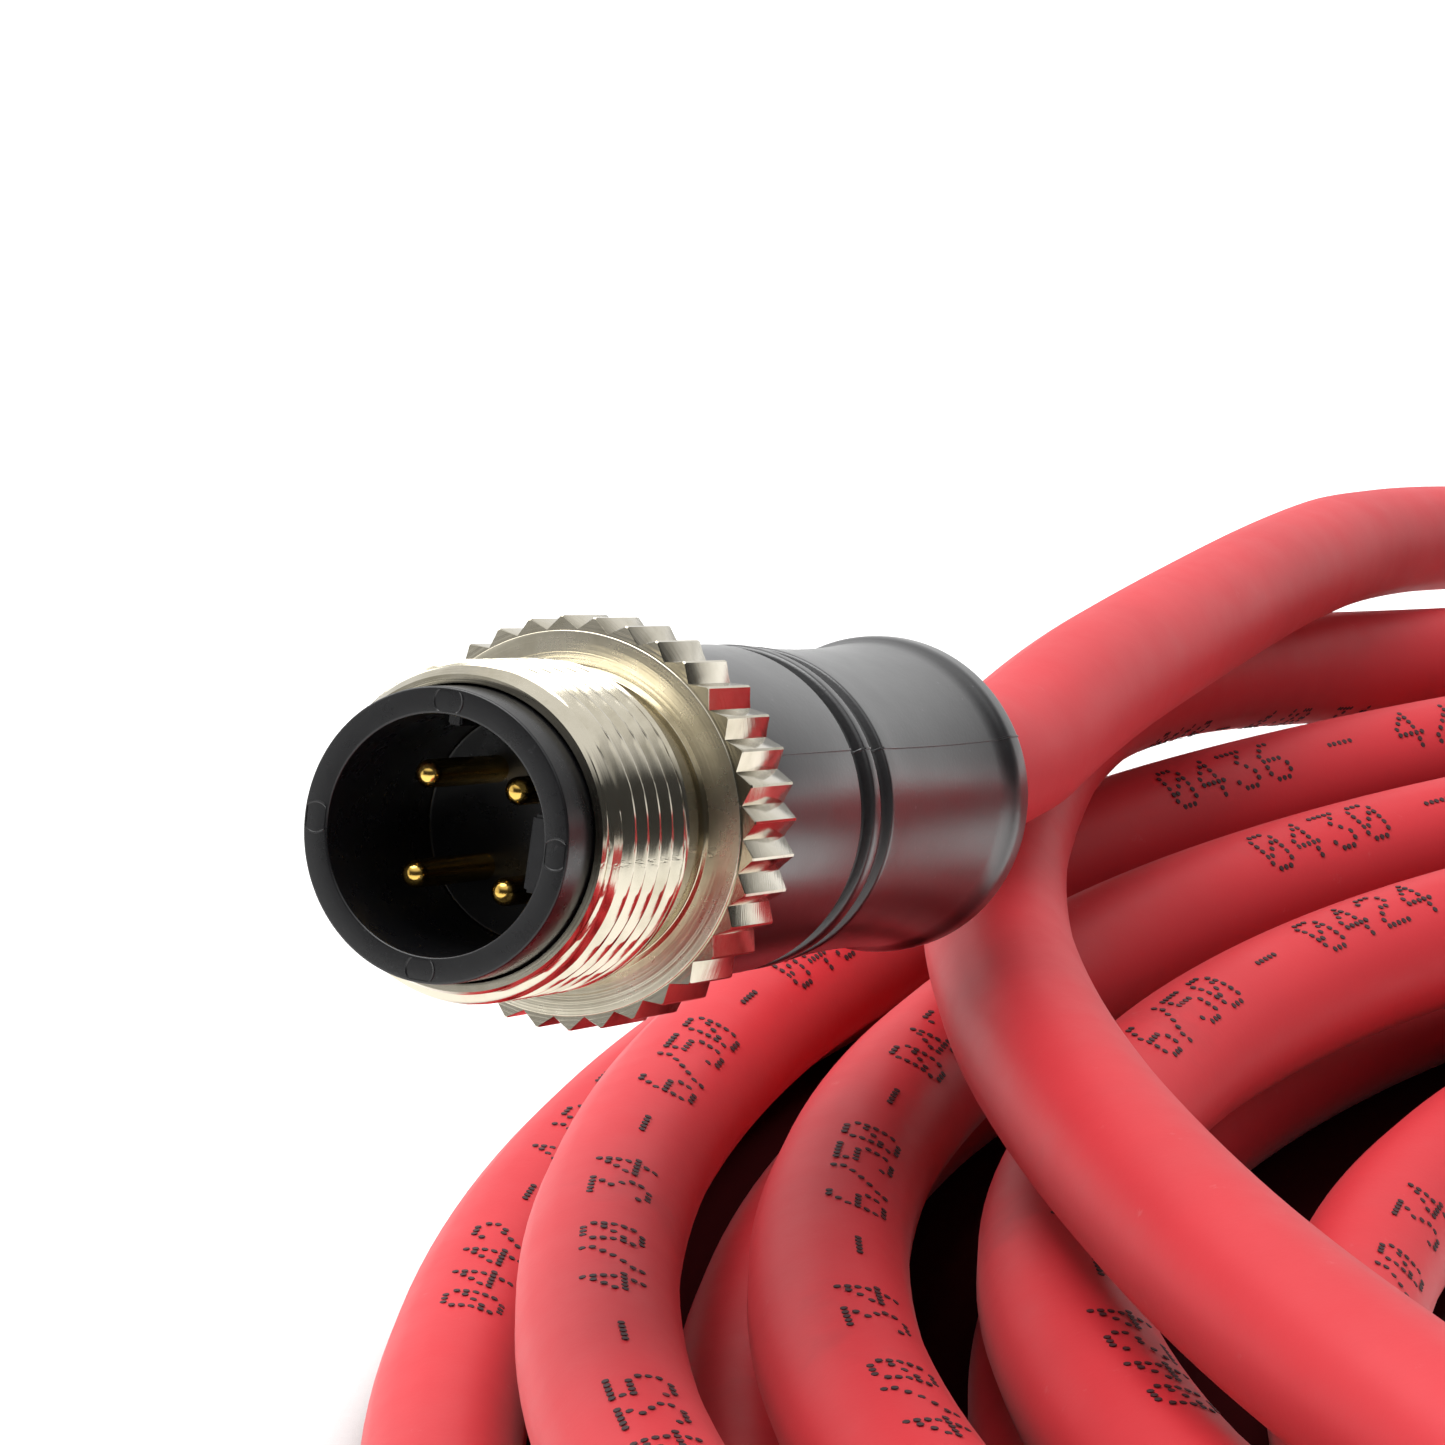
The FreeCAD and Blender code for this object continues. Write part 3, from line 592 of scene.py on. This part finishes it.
def plated_material(name, colour, tarnish, roughness, feed_mm, rings_strength):
    """Turned and plated brass: fine rings from the tool, a little dull film on the plating."""
    material, tree, shader, here = new_material(name)
    shader.inputs["Metallic"].default_value = 1.0
    film = ramp(tree, grain(tree, here, 2.2, 5), ((0.45, (*colour, 1.0)), (0.90, linear(tarnish))))
    tree.links.new(film, shader.inputs["Base Color"])
    # Tool feed of about 0.06 mm, drawn at twice that so that it shows
    turning = add(tree, "ShaderNodeUVMap", uv_map="Turning").outputs[0]
    along = add(tree, "ShaderNodeSeparateXYZ", links={0: turning})
    stretch = add(tree, "ShaderNodeMapping", {"Scale": (1 / feed_mm, 0.35, 1)}, {"Vector": turning})
    rings = add(tree, "ShaderNodeTexNoise", {"Scale": 1.0, "Detail": 2.0}, {"Vector": stretch.outputs[0]})
    # The screw's flat front keeps the coarser marks of its facing cut
    faced = add(tree, MATH, {1: FACE_MIDDLE, 2: FACE_HALF}, {0: along.outputs["X"]},
                operation="COMPARE").outputs[0]
    polish = add(tree, MAP_RANGE, {3: roughness * 0.9, 4: roughness * 1.2}, {
        0: grain(tree, here, 1.1, 4)})
    rough = add(tree, MATH, {1: 0.14}, {0: faced, 2: polish.outputs[0]}, operation="MULTIPLY_ADD")
    tree.links.new(rough.outputs[0], shader.inputs["Roughness"])
    strength = add(tree, MATH, {1: 0.5, 2: rings_strength}, {0: faced}, operation="MULTIPLY_ADD")
    bump = add(tree, "ShaderNodeBump", {"Distance": 0.00002}, {
        "Height": rings.outputs[0], "Strength": strength.outputs[0]})
    tree.links.new(bump.outputs[0], shader.inputs["Normal"])
    return material


def carrier_material(colour):
    """Moulded PBT: black, half gloss, with faint pale scuffs where it has been plugged."""
    material, tree, shader, here = new_material("PBT, moulded black")
    scuffed = ramp(tree, grain(tree, here, 0.35, 6, 0.75), (
        (0.62, (*colour, 1.0)), (0.86, linear("#4A4A4C"))))
    tree.links.new(scuffed, shader.inputs["Base Color"])
    finish(tree, shader, here, gloss_mm=0.9, low=0.20, high=0.38, grain_mm=0.18, strength=0.10, depth=0.00003)
    return material


def grip_material(colour):
    """Overmoulded TPU: black and satin, with a fine eroded texture and a little lint."""
    material, tree, shader, here = new_material("TPU, overmoulded black")
    paler = (*(c * 1.9 for c in colour), 1.0)
    worn = ramp(tree, grain(tree, here, 7, 5), ((0.40, (*colour, 1.0)), (0.75, paler)))
    linty = spots(tree, grain(tree, here, 0.3, 2, 0.4), worn, "#6E6E70", start=0.74, end=0.80, most=0.5)
    tree.links.new(linty, shader.inputs["Base Color"])
    # A clear coat gives the satin skin
    shader.inputs["Specular IOR Level"].default_value = 0.9
    shader.inputs["Coat Weight"].default_value = 0.4
    shader.inputs["Coat Roughness"].default_value = 0.28
    finish(tree, shader, here, gloss_mm=2.5, low=0.26, high=0.40, grain_mm=0.2, strength=0.16, depth=0.00004)
    return material


def hidden_material(name, hex_low, hex_high, size_mm, roughness, metallic):
    """Finish of a piece inside the grip: its colour, uneven as made, with a matching bump."""
    material, tree, shader, here = new_material(name)
    uneven = ramp(tree, grain(tree, here, size_mm, 4), ((0.35, linear(hex_low)), (0.65, linear(hex_high))))
    tree.links.new(uneven, shader.inputs["Base Color"])
    shader.inputs["Metallic"].default_value = metallic
    shader.inputs["Roughness"].default_value = roughness
    bump = add(tree, "ShaderNodeBump", {"Strength": 0.2, "Distance": 0.00004}, {
        "Height": grain(tree, here, size_mm / 6, 2)})
    tree.links.new(bump.outputs[0], shader.inputs["Normal"])
    return material


def braid_material():
    """Braided tinned copper: two crossing runs of fine wire, with painted shade in dark copper-brown between
    them.
    """
    material, tree, shader, here = new_material("Copper wire, tinned and braided")
    shader.inputs["Metallic"].default_value = 1.0
    shader.inputs["Roughness"].default_value = 0.35
    heights = []
    for turn in (0.9, -0.9):
        leaned = add(tree, "ShaderNodeMapping", {"Rotation": (turn, turn, 0)}, {"Vector": here})
        # Strands of 0.1 mm, drawn at 0.35 mm
        wave = add(tree, "ShaderNodeTexWave", {"Scale": 1 / (0.35 * MM) / 6, "Distortion": 0.4}, {
            "Vector": leaned.outputs[0]})
        heights.append(wave.outputs[1])
    over = add(tree, MATH, links=dict(enumerate(heights)), operation="MAXIMUM").outputs[0]
    # Painted shade: where the relief is low, between the wires, the tin colour turns dark copper-brown
    tin_and_painted_shade = ramp(tree, over, ((0.2, linear("#8A5F45")), (0.7, linear("#C9C4BA"))))
    tree.links.new(tin_and_painted_shade, shader.inputs["Base Color"])
    bump = add(tree, "ShaderNodeBump", {"Strength": 0.7, "Distance": 0.0001}, {"Height": over})
    tree.links.new(bump.outputs[0], shader.inputs["Normal"])
    return material


def paper_material():
    """White matte paper with painted shade: darker and a deep red between the strands, where little light
    reaches.
    """
    material = bpy.data.materials.new("Paper, white and matte")
    material.use_nodes = True
    tree = material.node_tree
    tree.nodes.clear()
    # How open the paper is to the room gives its colour: painted shade, from white in the open to a dark red
    # between the strands, with painted bounce light from the red cable
    openness_for_painted_shade = add(tree, "ShaderNodeAmbientOcclusion", {"Distance": 0.06}, samples=32)
    reach = add(tree, MAP_RANGE, {1: 0.42, 2: 0.85, 3: 0.0, 4: 1.0}, {
        0: openness_for_painted_shade.outputs["AO"]}).outputs[0]
    shade = ramp(tree, reach, ((0.0, linear("#2A0A0C")), (1.0, linear("#F4F4F3"))))
    matte = add(tree, "ShaderNodeBsdfDiffuse", links={"Color": shade})
    # A faint glow makes it white for the camera and in what mirrors it; between the strands the glow is
    # dimmed as painted shade
    ray = add(tree, "ShaderNodeLightPath").outputs
    seen = add(tree, MATH, links={0: ray["Is Camera Ray"], 1: ray["Is Glossy Ray"]},
               operation="MAXIMUM")
    level = add(tree, MATH, {1: 0.22}, {0: reach}, operation="MULTIPLY")
    glow = add(tree, "ShaderNodeEmission", links={"Strength": level.outputs[0]})
    dark = add(tree, "ShaderNodeEmission", {"Strength": 0.0})
    lift = add(tree, "ShaderNodeMixShader", links={
        0: seen.outputs[0], 1: dark.outputs[0], 2: glow.outputs[0]})
    both = add(tree, "ShaderNodeAddShader", links={0: matte.outputs[0], 1: lift.outputs[0]})
    add(tree, "ShaderNodeOutputMaterial", links={"Surface": both.outputs[0]}, is_active_output=True)
    return material


def studio_world():
    """The room's light, what metal mirrors of the room, and the white that the camera sees."""
    world = bpy.data.worlds.new("studio")
    world.use_nodes = True
    tree = world.node_tree
    tree.nodes.clear()
    ray = add(tree, "ShaderNodeLightPath").outputs
    direction = add(tree, "ShaderNodeTexCoord")
    apart = add(tree, "ShaderNodeSeparateXYZ", links={0: direction.outputs["Generated"]})
    room = {}
    for name, (axis, *levels) in ROOM.items():
        room[name] = add(tree, MAP_RANGE, dict(enumerate(levels, 1)), {
            0: apart.outputs[axis]}).outputs[0]
    shade = add(tree, MATH, links={0: room["behind"], 1: room["overhead"]}, operation="MAXIMUM")
    level = add(tree, MATH, {1: ROOM_LIGHT}, {0: shade.outputs[0]}, operation="MULTIPLY")
    light = add(tree, "ShaderNodeBackground", {"Color": WHITE}, {"Strength": level.outputs[0]})
    upper = add(tree, MATH, links={0: room["backdrop"], 1: room["ceiling"]}, operation="MAXIMUM")
    mirror = add(tree, MATH, links={0: upper.outputs[0], 1: room["wall"]}, operation="MAXIMUM")
    mirrored = add(tree, "ShaderNodeBackground", {"Color": WHITE}, {"Strength": mirror.outputs[0]})
    white = add(tree, "ShaderNodeBackground", {"Color": WHITE, "Strength": 1.0})
    bright = add(tree, MATH, links={0: ray["Is Glossy Ray"], 1: ray["Is Transmission Ray"]},
                 operation="MAXIMUM")
    first = add(tree, "ShaderNodeMixShader", links={
        0: bright.outputs[0], 1: light.outputs[0], 2: mirrored.outputs[0]})
    second = add(tree, "ShaderNodeMixShader", links={
        0: ray["Is Camera Ray"], 1: first.outputs[0], 2: white.outputs[0]})
    add(tree, "ShaderNodeOutputWorld", links={"Surface": second.outputs[0]})
    return world


def coil_reach(quarter_turn):
    """Reach of the coil at a whole count of quarter turns, 0 at the left of the lowest turn."""
    side = quarter_turn % 4
    turn = quarter_turn // 4
    if quarter_turn <= 4 * COIL_LOWER_TURNS + 1:
        return COIL_LOWER_FIRST[side] + COIL_LOWER_STEP[side] * turn
    if quarter_turn == 4 * COIL_LOWER_TURNS + 2:
        return COIL_CLIMB_REACH
    first_upper = COIL_LOWER_TURNS if side == 3 else COIL_LOWER_TURNS + 1
    return COIL_UPPER_FIRST[side] - COIL_UPPER_STEP[side] * (turn - first_upper)


def coil_points():
    """The coil's spline points, from its upper end back down to its start inside."""
    first, last = -1, 4 * (COIL_LOWER_TURNS + 1 + COIL_UPPER_TURNS) + 1
    climb_start = 4 * COIL_LOWER_TURNS
    per_quarter = COIL_POINTS // 4
    outwards = 1 / math.cos(math.pi / COIL_POINTS)
    points = []
    for step in range((last - first) * per_quarter, -1, -1):
        quarter, part = first + step // per_quarter, (step % per_quarter) / per_quarter
        before, after = coil_reach(quarter), coil_reach(min(quarter + 1, last))
        ease = part * part * (3 - 2 * part)
        reach = (before + (after - before) * ease) * outwards
        climb = min(max((quarter + part - climb_start) / 2, 0), 1)
        height = COIL_LOWER_Z + (COIL_UPPER_Z - COIL_LOWER_Z) * climb * climb * (3 - 2 * climb)
        angle = math.radians(180 + 90 * (quarter + part))
        points.append((reach * math.cos(angle), reach * math.sin(angle), height))
    return points


def cable_points():
    """All the cable's spline points in metres, from connector A to connector B."""
    inside = {}
    for end in ENDS:
        place = connector_matrix(end)
        inside[end] = [place @ Vector((x, 0, 0)) for x in (JACKET_END, CONNECTORS[end]["straight"])]
    route = list(reversed(ROUTE_A)) + coil_points() + list(ROUTE_B)
    return inside["a"] + [(Vector(point) + COIL_MIDDLE) * MM for point in route] + inside["b"][::-1]


def route_curve(name, places, radius):
    """Smooth spline through the cable's places."""
    curve = bpy.data.curves.new(name, "CURVE")
    curve.dimensions = "3D"
    curve.resolution_u = 12
    curve.bevel_depth = radius
    curve.bevel_resolution = 6
    curve.use_fill_caps = True
    spline = curve.splines.new("NURBS")
    spline.points.add(len(places) - 1)
    for point, place in zip(spline.points, places):
        point.co = (*place, 1.0)
    spline.order_u = 3
    spline.use_endpoint_u = True
    return curve


class Along:
    """The cable's line as closely spaced points, read by distance from connector A."""

    def __init__(self, places):
        curve = route_curve("line", places, 0.0)
        holder = bpy.data.objects.new("line", curve)
        line = bpy.data.meshes.new_from_object(holder)
        self.points = [vertex.co.copy() for vertex in line.vertices]
        bpy.data.meshes.remove(line)
        bpy.data.objects.remove(holder)
        bpy.data.curves.remove(curve)
        self.far = [0.0]
        for before, after in zip(self.points, self.points[1:]):
            self.far.append(self.far[-1] + (after - before).length)
        self.length = self.far[-1]
        self.at_index = 0

    def at(self, distance):
        """Point and direction at a distance."""
        i = self.at_index
        while i > 0 and self.far[i] > distance:
            i -= 1
        while i < len(self.far) - 2 and self.far[i + 1] < distance:
            i += 1
        self.at_index = i
        before, after = self.points[i], self.points[i + 1]
        share = (distance - self.far[i]) / (self.far[i + 1] - self.far[i])
        return before.lerp(after, share), (after - before).normalized()


def print_lean(distance):
    """Degrees from the top at which the print lies at a distance."""
    for (before, low), (after, high) in zip(PRINT_LEAN, PRINT_LEAN[1:]):
        if distance <= after:
            return low + (high - low) * (distance - before) / (after - before)
    return PRINT_LEAN[-1][1]


def inked_cells(text):
    """The dots that a text is printed with: along from its start, and across from its middle row."""
    for place, figure in enumerate(text):
        for row, cells in enumerate(FIGURES[figure]):
            for column, cell in enumerate(cells):
                if cell == "1":
                    yield place * FIGURE_STEP + column, row - FIGURE_MIDDLE


def ejector_mark(degrees):
    """Round mark that a mould's ejector pin leaves across the nose's rim, cut to the rim's width."""
    mark = lathe(rounded(EJECTOR_MARK, 0.01, 2), 40)
    for vert in mark.verts:
        vert.co.z = max(-0.38, min(0.36, vert.co.z))
    turn = Matrix.Rotation(math.radians(degrees), 4, "X")
    mark.transform(turn @ Matrix.Translation((0, 0, RIM_RADIUS)))
    return mark


def knurl_tooth(teeth):
    """One V-shaped tooth of the knurl, at the top of the screw."""
    half = TOOTH_ROOT * math.tan(math.pi / teeth)
    foot = half * 0.9
    tooth = loft([[(x, y, z) for y, z in (
        (-half, TOOTH_ROOT), (-TOOTH_FLAT, tip), (TOOTH_FLAT, tip), (half, TOOTH_ROOT),
        (foot, TOOTH_FOOT), (-foot, TOOTH_FOOT))] for x, tip in TOOTH_TIPS])
    turning = tooth.loops.layers.uv.new("Turning")
    for face in tooth.faces:
        for loop in face.loops:
            loop[turning].uv = (loop.vert.co.x + loop.vert.co.z, loop.vert.co.y)
    return tooth


def parting_seam(profile, side):
    """Thin raised seam along one side of the grip, where its mould parts."""
    outlines = []
    for x, r in profile:
        if x < SEAM_END and r > SEAM_INNER_RADIUS:
            outlines.append([(x, side * (r + lift), z) for z, lift in SEAM])
    seam = loft(outlines)
    seam.transform(Matrix.Rotation(math.radians(SEAM_TURN), 4, "X"))
    return seam


class CORDSET_OT_cable(bpy.types.Operator):
    """Lays the red cable from connector to connector, and winds its coil"""

    bl_idname = "cordset.cable"
    bl_label = "Lay Cable"

    def execute(self, context):
        sizes = context.scene.cordset_cable
        piece = linked("cable", route_curve("cable", cable_points(), sizes.diameter / 2))
        piece.data.materials.append(jacket_material(sizes.colour))
        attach(piece, ROOT)
        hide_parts("cable_coil", "cable_tail_a", "cable_tail_b")
        return {"FINISHED"}


class CORDSET_OT_print(bpy.types.Operator):
    """Prints dot-matrix metre marks along the jacket"""

    bl_idname = "cordset.print_marks"
    bl_label = "Print Marks"

    def execute(self, context):
        sizes = context.scene.cordset_cable
        along = Along(cable_points())
        radius = sizes.diameter / 2
        dots, outward = [], []
        start, number = PRINT_FIRST, PRINT_NUMBER
        while start < along.length - PRINT_BARE:
            for column, row in inked_cells(f"{number:04d} - 4/0 34 - 6/50 - {number:04d}"):
                distance = start + column * sizes.dot_pitch
                middle, ahead = along.at(distance)
                up = (Vector((0, 0, 1)) - ahead * ahead.z).normalized()
                side = ahead.cross(up)
                turn = math.radians(print_lean(distance)) + row * sizes.dot_pitch / radius
                normal = up * math.cos(turn) + side * math.sin(turn)
                dots.append(middle + normal * radius)
                outward.append(normal)
            start += PRINT_REPEAT
            number += 1
        mesh = bpy.data.meshes.new("marks")
        mesh.from_pydata(dots, [], [])
        layer = mesh.attributes.new("outward", "FLOAT_VECTOR", "POINT")
        layer.data.foreach_set("vector", [value for normal in outward for value in normal])
        piece = linked("metre_marks", grown(printed_dots(), mesh, {
            "Dot radius": sizes.dot_size / 2, "Thickness": INK_THICKNESS, "Material": ink_material()}))
        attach(piece, ROOT)
        return {"FINISHED"}


class CORDSET_OT_carriers(bpy.types.Operator):
    """Makes the black contact carriers with their coding keys"""

    bl_idname = "cordset.carriers"
    bl_label = "Make Carriers"

    def execute(self, context):
        material = carrier_material(context.scene.cordset_connector.plastic)
        for end in ENDS:
            parts = [lathe(rounded(CARRIER_PROFILE, 0.10), 128)]
            parts += [block(*MAIN_KEY, 0.12), block(*SMALL_KEY, 0.06)]
            parts += [ejector_mark(90 * i - 2) for i in range(4)]
            mesh = to_mesh(join(parts), "carrier", connector_matrix(end))
            show(mesh, f"carrier_body_{end}", end, material,
                 [f"contact_carrier_{end}"])
        return {"FINISHED"}


class CORDSET_OT_contacts(bpy.types.Operator):
    """Makes the gold-plated contact pins"""

    bl_idname = "cordset.contacts"
    bl_label = "Make Contacts"

    def execute(self, context):
        material = plated_material(
            "Copper alloy, turned and gold plated", context.scene.cordset_connector.contacts, "#C99A45",
            roughness=0.16, feed_mm=0.10, rings_strength=0.12)
        profile = []
        for i in range(6):
            turn = math.pi * i / 12
            back = CONTACT_RADIUS * (1 - math.cos(turn))
            profile.append((CONTACT_TIP + back, CONTACT_RADIUS * math.sin(turn)))
        profile += rounded(CONTACT_PROFILE, 0.05, 3)
        for end in ENDS:
            pins = []
            for i in range(CONTACTS):
                pin = lathe(profile, 32)
                angle = math.radians(45 + 90 * i)
                pin.transform(Matrix.Translation((
                    0, CONTACT_CIRCLE * math.cos(angle), CONTACT_CIRCLE * math.sin(angle))))
                pins.append(pin)
            mesh = to_mesh(join(pins), "contacts", connector_matrix(end))
            show(mesh, f"contact_set_{end}", end, material,
                 [f"contact_pin_{i}_{end}" for i in range(1, CONTACTS + 1)])
        return {"FINISHED"}


class CORDSET_OT_screws(bpy.types.Operator):
    """Turns the plated coupling screws, with their thread and knurl"""

    bl_idname = "cordset.screws"
    bl_label = "Turn Screws"

    def execute(self, context):
        sizes = context.scene.cordset_connector
        material = plated_material(
            "Brass, turned and nickel plated", sizes.plating, "#A49C84",
            roughness=0.13, feed_mm=0.12, rings_strength=0.34)
        crest, pitch = sizes.thread_radius / MM, sizes.thread_pitch / MM
        outside = rounded((
            (12.7, SCREW_BORE), (13.9, SCREW_BORE), (13.9, 6.97), (10.1, 6.97), (SCREW_FACE, 6.94),
            (SCREW_FACE, 5.75), (10.22, 5.5), (8.62, 5.5), (8.3, 5.62), (THREAD_BACK, crest)), 0.05, 3)
        # Rows close enough to be cut by the thread
        rows = []
        for i in range(1, round((THREAD_BACK - THREAD_FRONT) / THREAD_ROW)):
            x = THREAD_BACK - THREAD_ROW * i
            rise = THREAD_BEVEL_RISE * (x - THREAD_FRONT) / THREAD_BEVEL
            rows.append((x, min(crest, THREAD_TIP_RADIUS + rise)))
        inside = rounded((
            (THREAD_FRONT, THREAD_TIP_RADIUS), (THREAD_FRONT, SCREW_BORE), (10.55, SCREW_BORE),
            (10.55, SCREW_CHAMBER), (12.7, SCREW_CHAMBER)), 0.05, 3)
        turned = to_mesh(lathe(outside + rows + inside, 144, closed=True), "turned")
        turned = grown(screw_thread(), turned, {
            "Crest radius": crest, "Depth": THREAD_DEPTH, "Pitch": pitch, "Back": THREAD_BACK,
            "Material": material})
        tooth = to_mesh(knurl_tooth(sizes.knurl_teeth), "tooth", sharp=20)
        knurl = grown(ring_of_teeth(), tooth, {"Count": sizes.knurl_teeth, "Material": material})
        for end in ENDS:
            whole = bmesh.new()
            whole.from_mesh(turned)
            whole.from_mesh(knurl)
            mesh = to_mesh(whole, "screw", connector_matrix(end), 28)
            show(mesh, f"coupling_screw_turned_{end}", end, material,
                 [f"coupling_screw_{end}"])
        return {"FINISHED"}


class CORDSET_OT_grips(bpy.types.Operator):
    """Moulds the black grips with their grooves and parting line"""

    bl_idname = "cordset.grips"
    bl_label = "Mould Grips"

    def execute(self, context):
        material = grip_material(context.scene.cordset_connector.plastic)
        # The waist: narrower behind the grooves, and a little wider again at the stepped rim
        waist = []
        for i in range(1, 13):
            t = i / 13
            waist.append((26.3 + 12.1 * t, 6.22 - 0.62 * t + 0.62 * t ** 2 + 0.08 * t ** 4))
        profile = rounded(GRIP_FRONT, 0.16) + waist + rounded(GRIP_BACK, 0.35, 6)
        for end in ENDS:
            parts = [lathe(profile + list(GRIP_INSIDE), 128, closed=True)]
            parts += [parting_seam(profile, side) for side in (-1, 1)]
            mesh = to_mesh(join(parts), "grip", connector_matrix(end), 45)
            show(mesh, f"grip_moulding_{end}", end, material, [f"grip_{end}"])
        return {"FINISHED"}


class CORDSET_OT_insides(bpy.types.Operator):
    """Finishes the pieces inside each grip: wires, inner mould, screen and ferrule"""

    bl_idname = "cordset.insides"
    bl_label = "Finish Insides"

    def execute(self, context):
        for name, finishing in HIDDEN_FINISHES.items():
            dress(name, hidden_material(*finishing))
        dress("shield_braid", braid_material())
        return {"FINISHED"}


class CORDSET_OT_declare(bpy.types.Operator):
    bl_idname = "cordset.declare"
    bl_label = "Declare Cable"

    def execute(self, context):
        pieces = [bpy.data.objects[name] for name in (
            "carrier_body_b", "contact_set_b", "coupling_screw_turned_b", "grip_moulding_b", "metre_marks")]
        pieces += [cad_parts[name] for name in (
            "wire_1_b", "wire_2_b", "wire_3_b", "wire_4_b", "core_mould_b", "shield_sleeve_b",
            "shield_braid_b", "crimp_ferrule_b")]
        Along(cable_points()).length
        return {"FINISHED"}


class CORDSET_OT_stage(bpy.types.Operator):
    """Sets the pale floor, the soft light and the camera"""

    bl_idname = "cordset.stage"
    bl_label = "Set Stage"

    def execute(self, context):
        scene = context.scene
        sizes = scene.cordset_stage
        camera = linked("camera", bpy.data.cameras.new("camera"))
        camera.data.lens = sizes.lens
        camera.data.sensor_width = 36.0
        camera.data.clip_start = 0.01
        camera.data.clip_end = 50.0
        camera.location = (CAMERA_PLACE + COIL_MIDDLE) * MM
        camera.rotation_euler = (math.radians(90 - CAMERA_DOWN), 0, 0)
        scene.camera = camera

        floor_mesh = bpy.data.meshes.new("floor")
        corners = [(FLOOR_HALF * x, FLOOR_HALF * y, 0) for x, y in ((-1, -1), (1, -1), (1, 1), (-1, 1))]
        floor_mesh.from_pydata(corners, [], [(0, 1, 2, 3)])
        floor_mesh.materials.append(paper_material())
        floor = linked("floor", floor_mesh)
        floor.location.z = -FLOOR_DROP

        scene.world = studio_world()
        for name, place, size, share in LAMPS:
            lamp = bpy.data.lights.new(name, "AREA")
            lamp.shape = "DISK"
            lamp.size = size
            lamp.energy = sizes.light * share
            holder = linked(name, lamp)
            holder.location = place
            holder.rotation_euler = (LAMPS_AIM - Vector(place)).to_track_quat("-Z", "Y").to_euler()
        scene.view_settings.view_transform = "Standard"
        return {"FINISHED"}


STEPS = (
    CORDSET_OT_stage, CORDSET_OT_cable, CORDSET_OT_print, CORDSET_OT_carriers, CORDSET_OT_contacts,
    CORDSET_OT_screws, CORDSET_OT_grips, CORDSET_OT_insides, CORDSET_OT_declare)


class CORDSET_PT_sidebar(bpy.types.Panel):
    """Buttons and sizes of the coiled cable"""

    bl_idname = "CORDSET_PT_sidebar"
    bl_label = "Coiled Cable"
    bl_space_type = "VIEW_3D"
    bl_region_type = "UI"
    bl_category = "Cable"

    def draw(self, context):
        layout = self.layout
        scene = context.scene
        for group in (scene.cordset_cable, scene.cordset_connector, scene.cordset_stage):
            for name in group.__annotations__:
                layout.prop(group, name)
        for step in STEPS:
            layout.operator(step.bl_idname)


CLASSES = (CableSizes, ConnectorSizes, StageSizes) + STEPS + (CORDSET_PT_sidebar,)


def register():
    for entry in CLASSES:
        bpy.utils.register_class(entry)
    bpy.types.Scene.cordset_cable = PointerProperty(type=CableSizes)
    bpy.types.Scene.cordset_connector = PointerProperty(type=ConnectorSizes)
    bpy.types.Scene.cordset_stage = PointerProperty(type=StageSizes)


def unregister():
    del bpy.types.Scene.cordset_stage
    del bpy.types.Scene.cordset_connector
    del bpy.types.Scene.cordset_cable
    for entry in reversed(CLASSES):
        bpy.utils.unregister_class(entry)


def main():
    register()
    bpy.ops.cordset.stage()
    bpy.ops.cordset.cable()
    bpy.ops.cordset.print_marks()
    bpy.ops.cordset.carriers()
    bpy.ops.cordset.contacts()
    bpy.ops.cordset.screws()
    bpy.ops.cordset.grips()
    bpy.ops.cordset.insides()
    bpy.ops.cordset.declare()


if __name__ == "__main__":
    main()
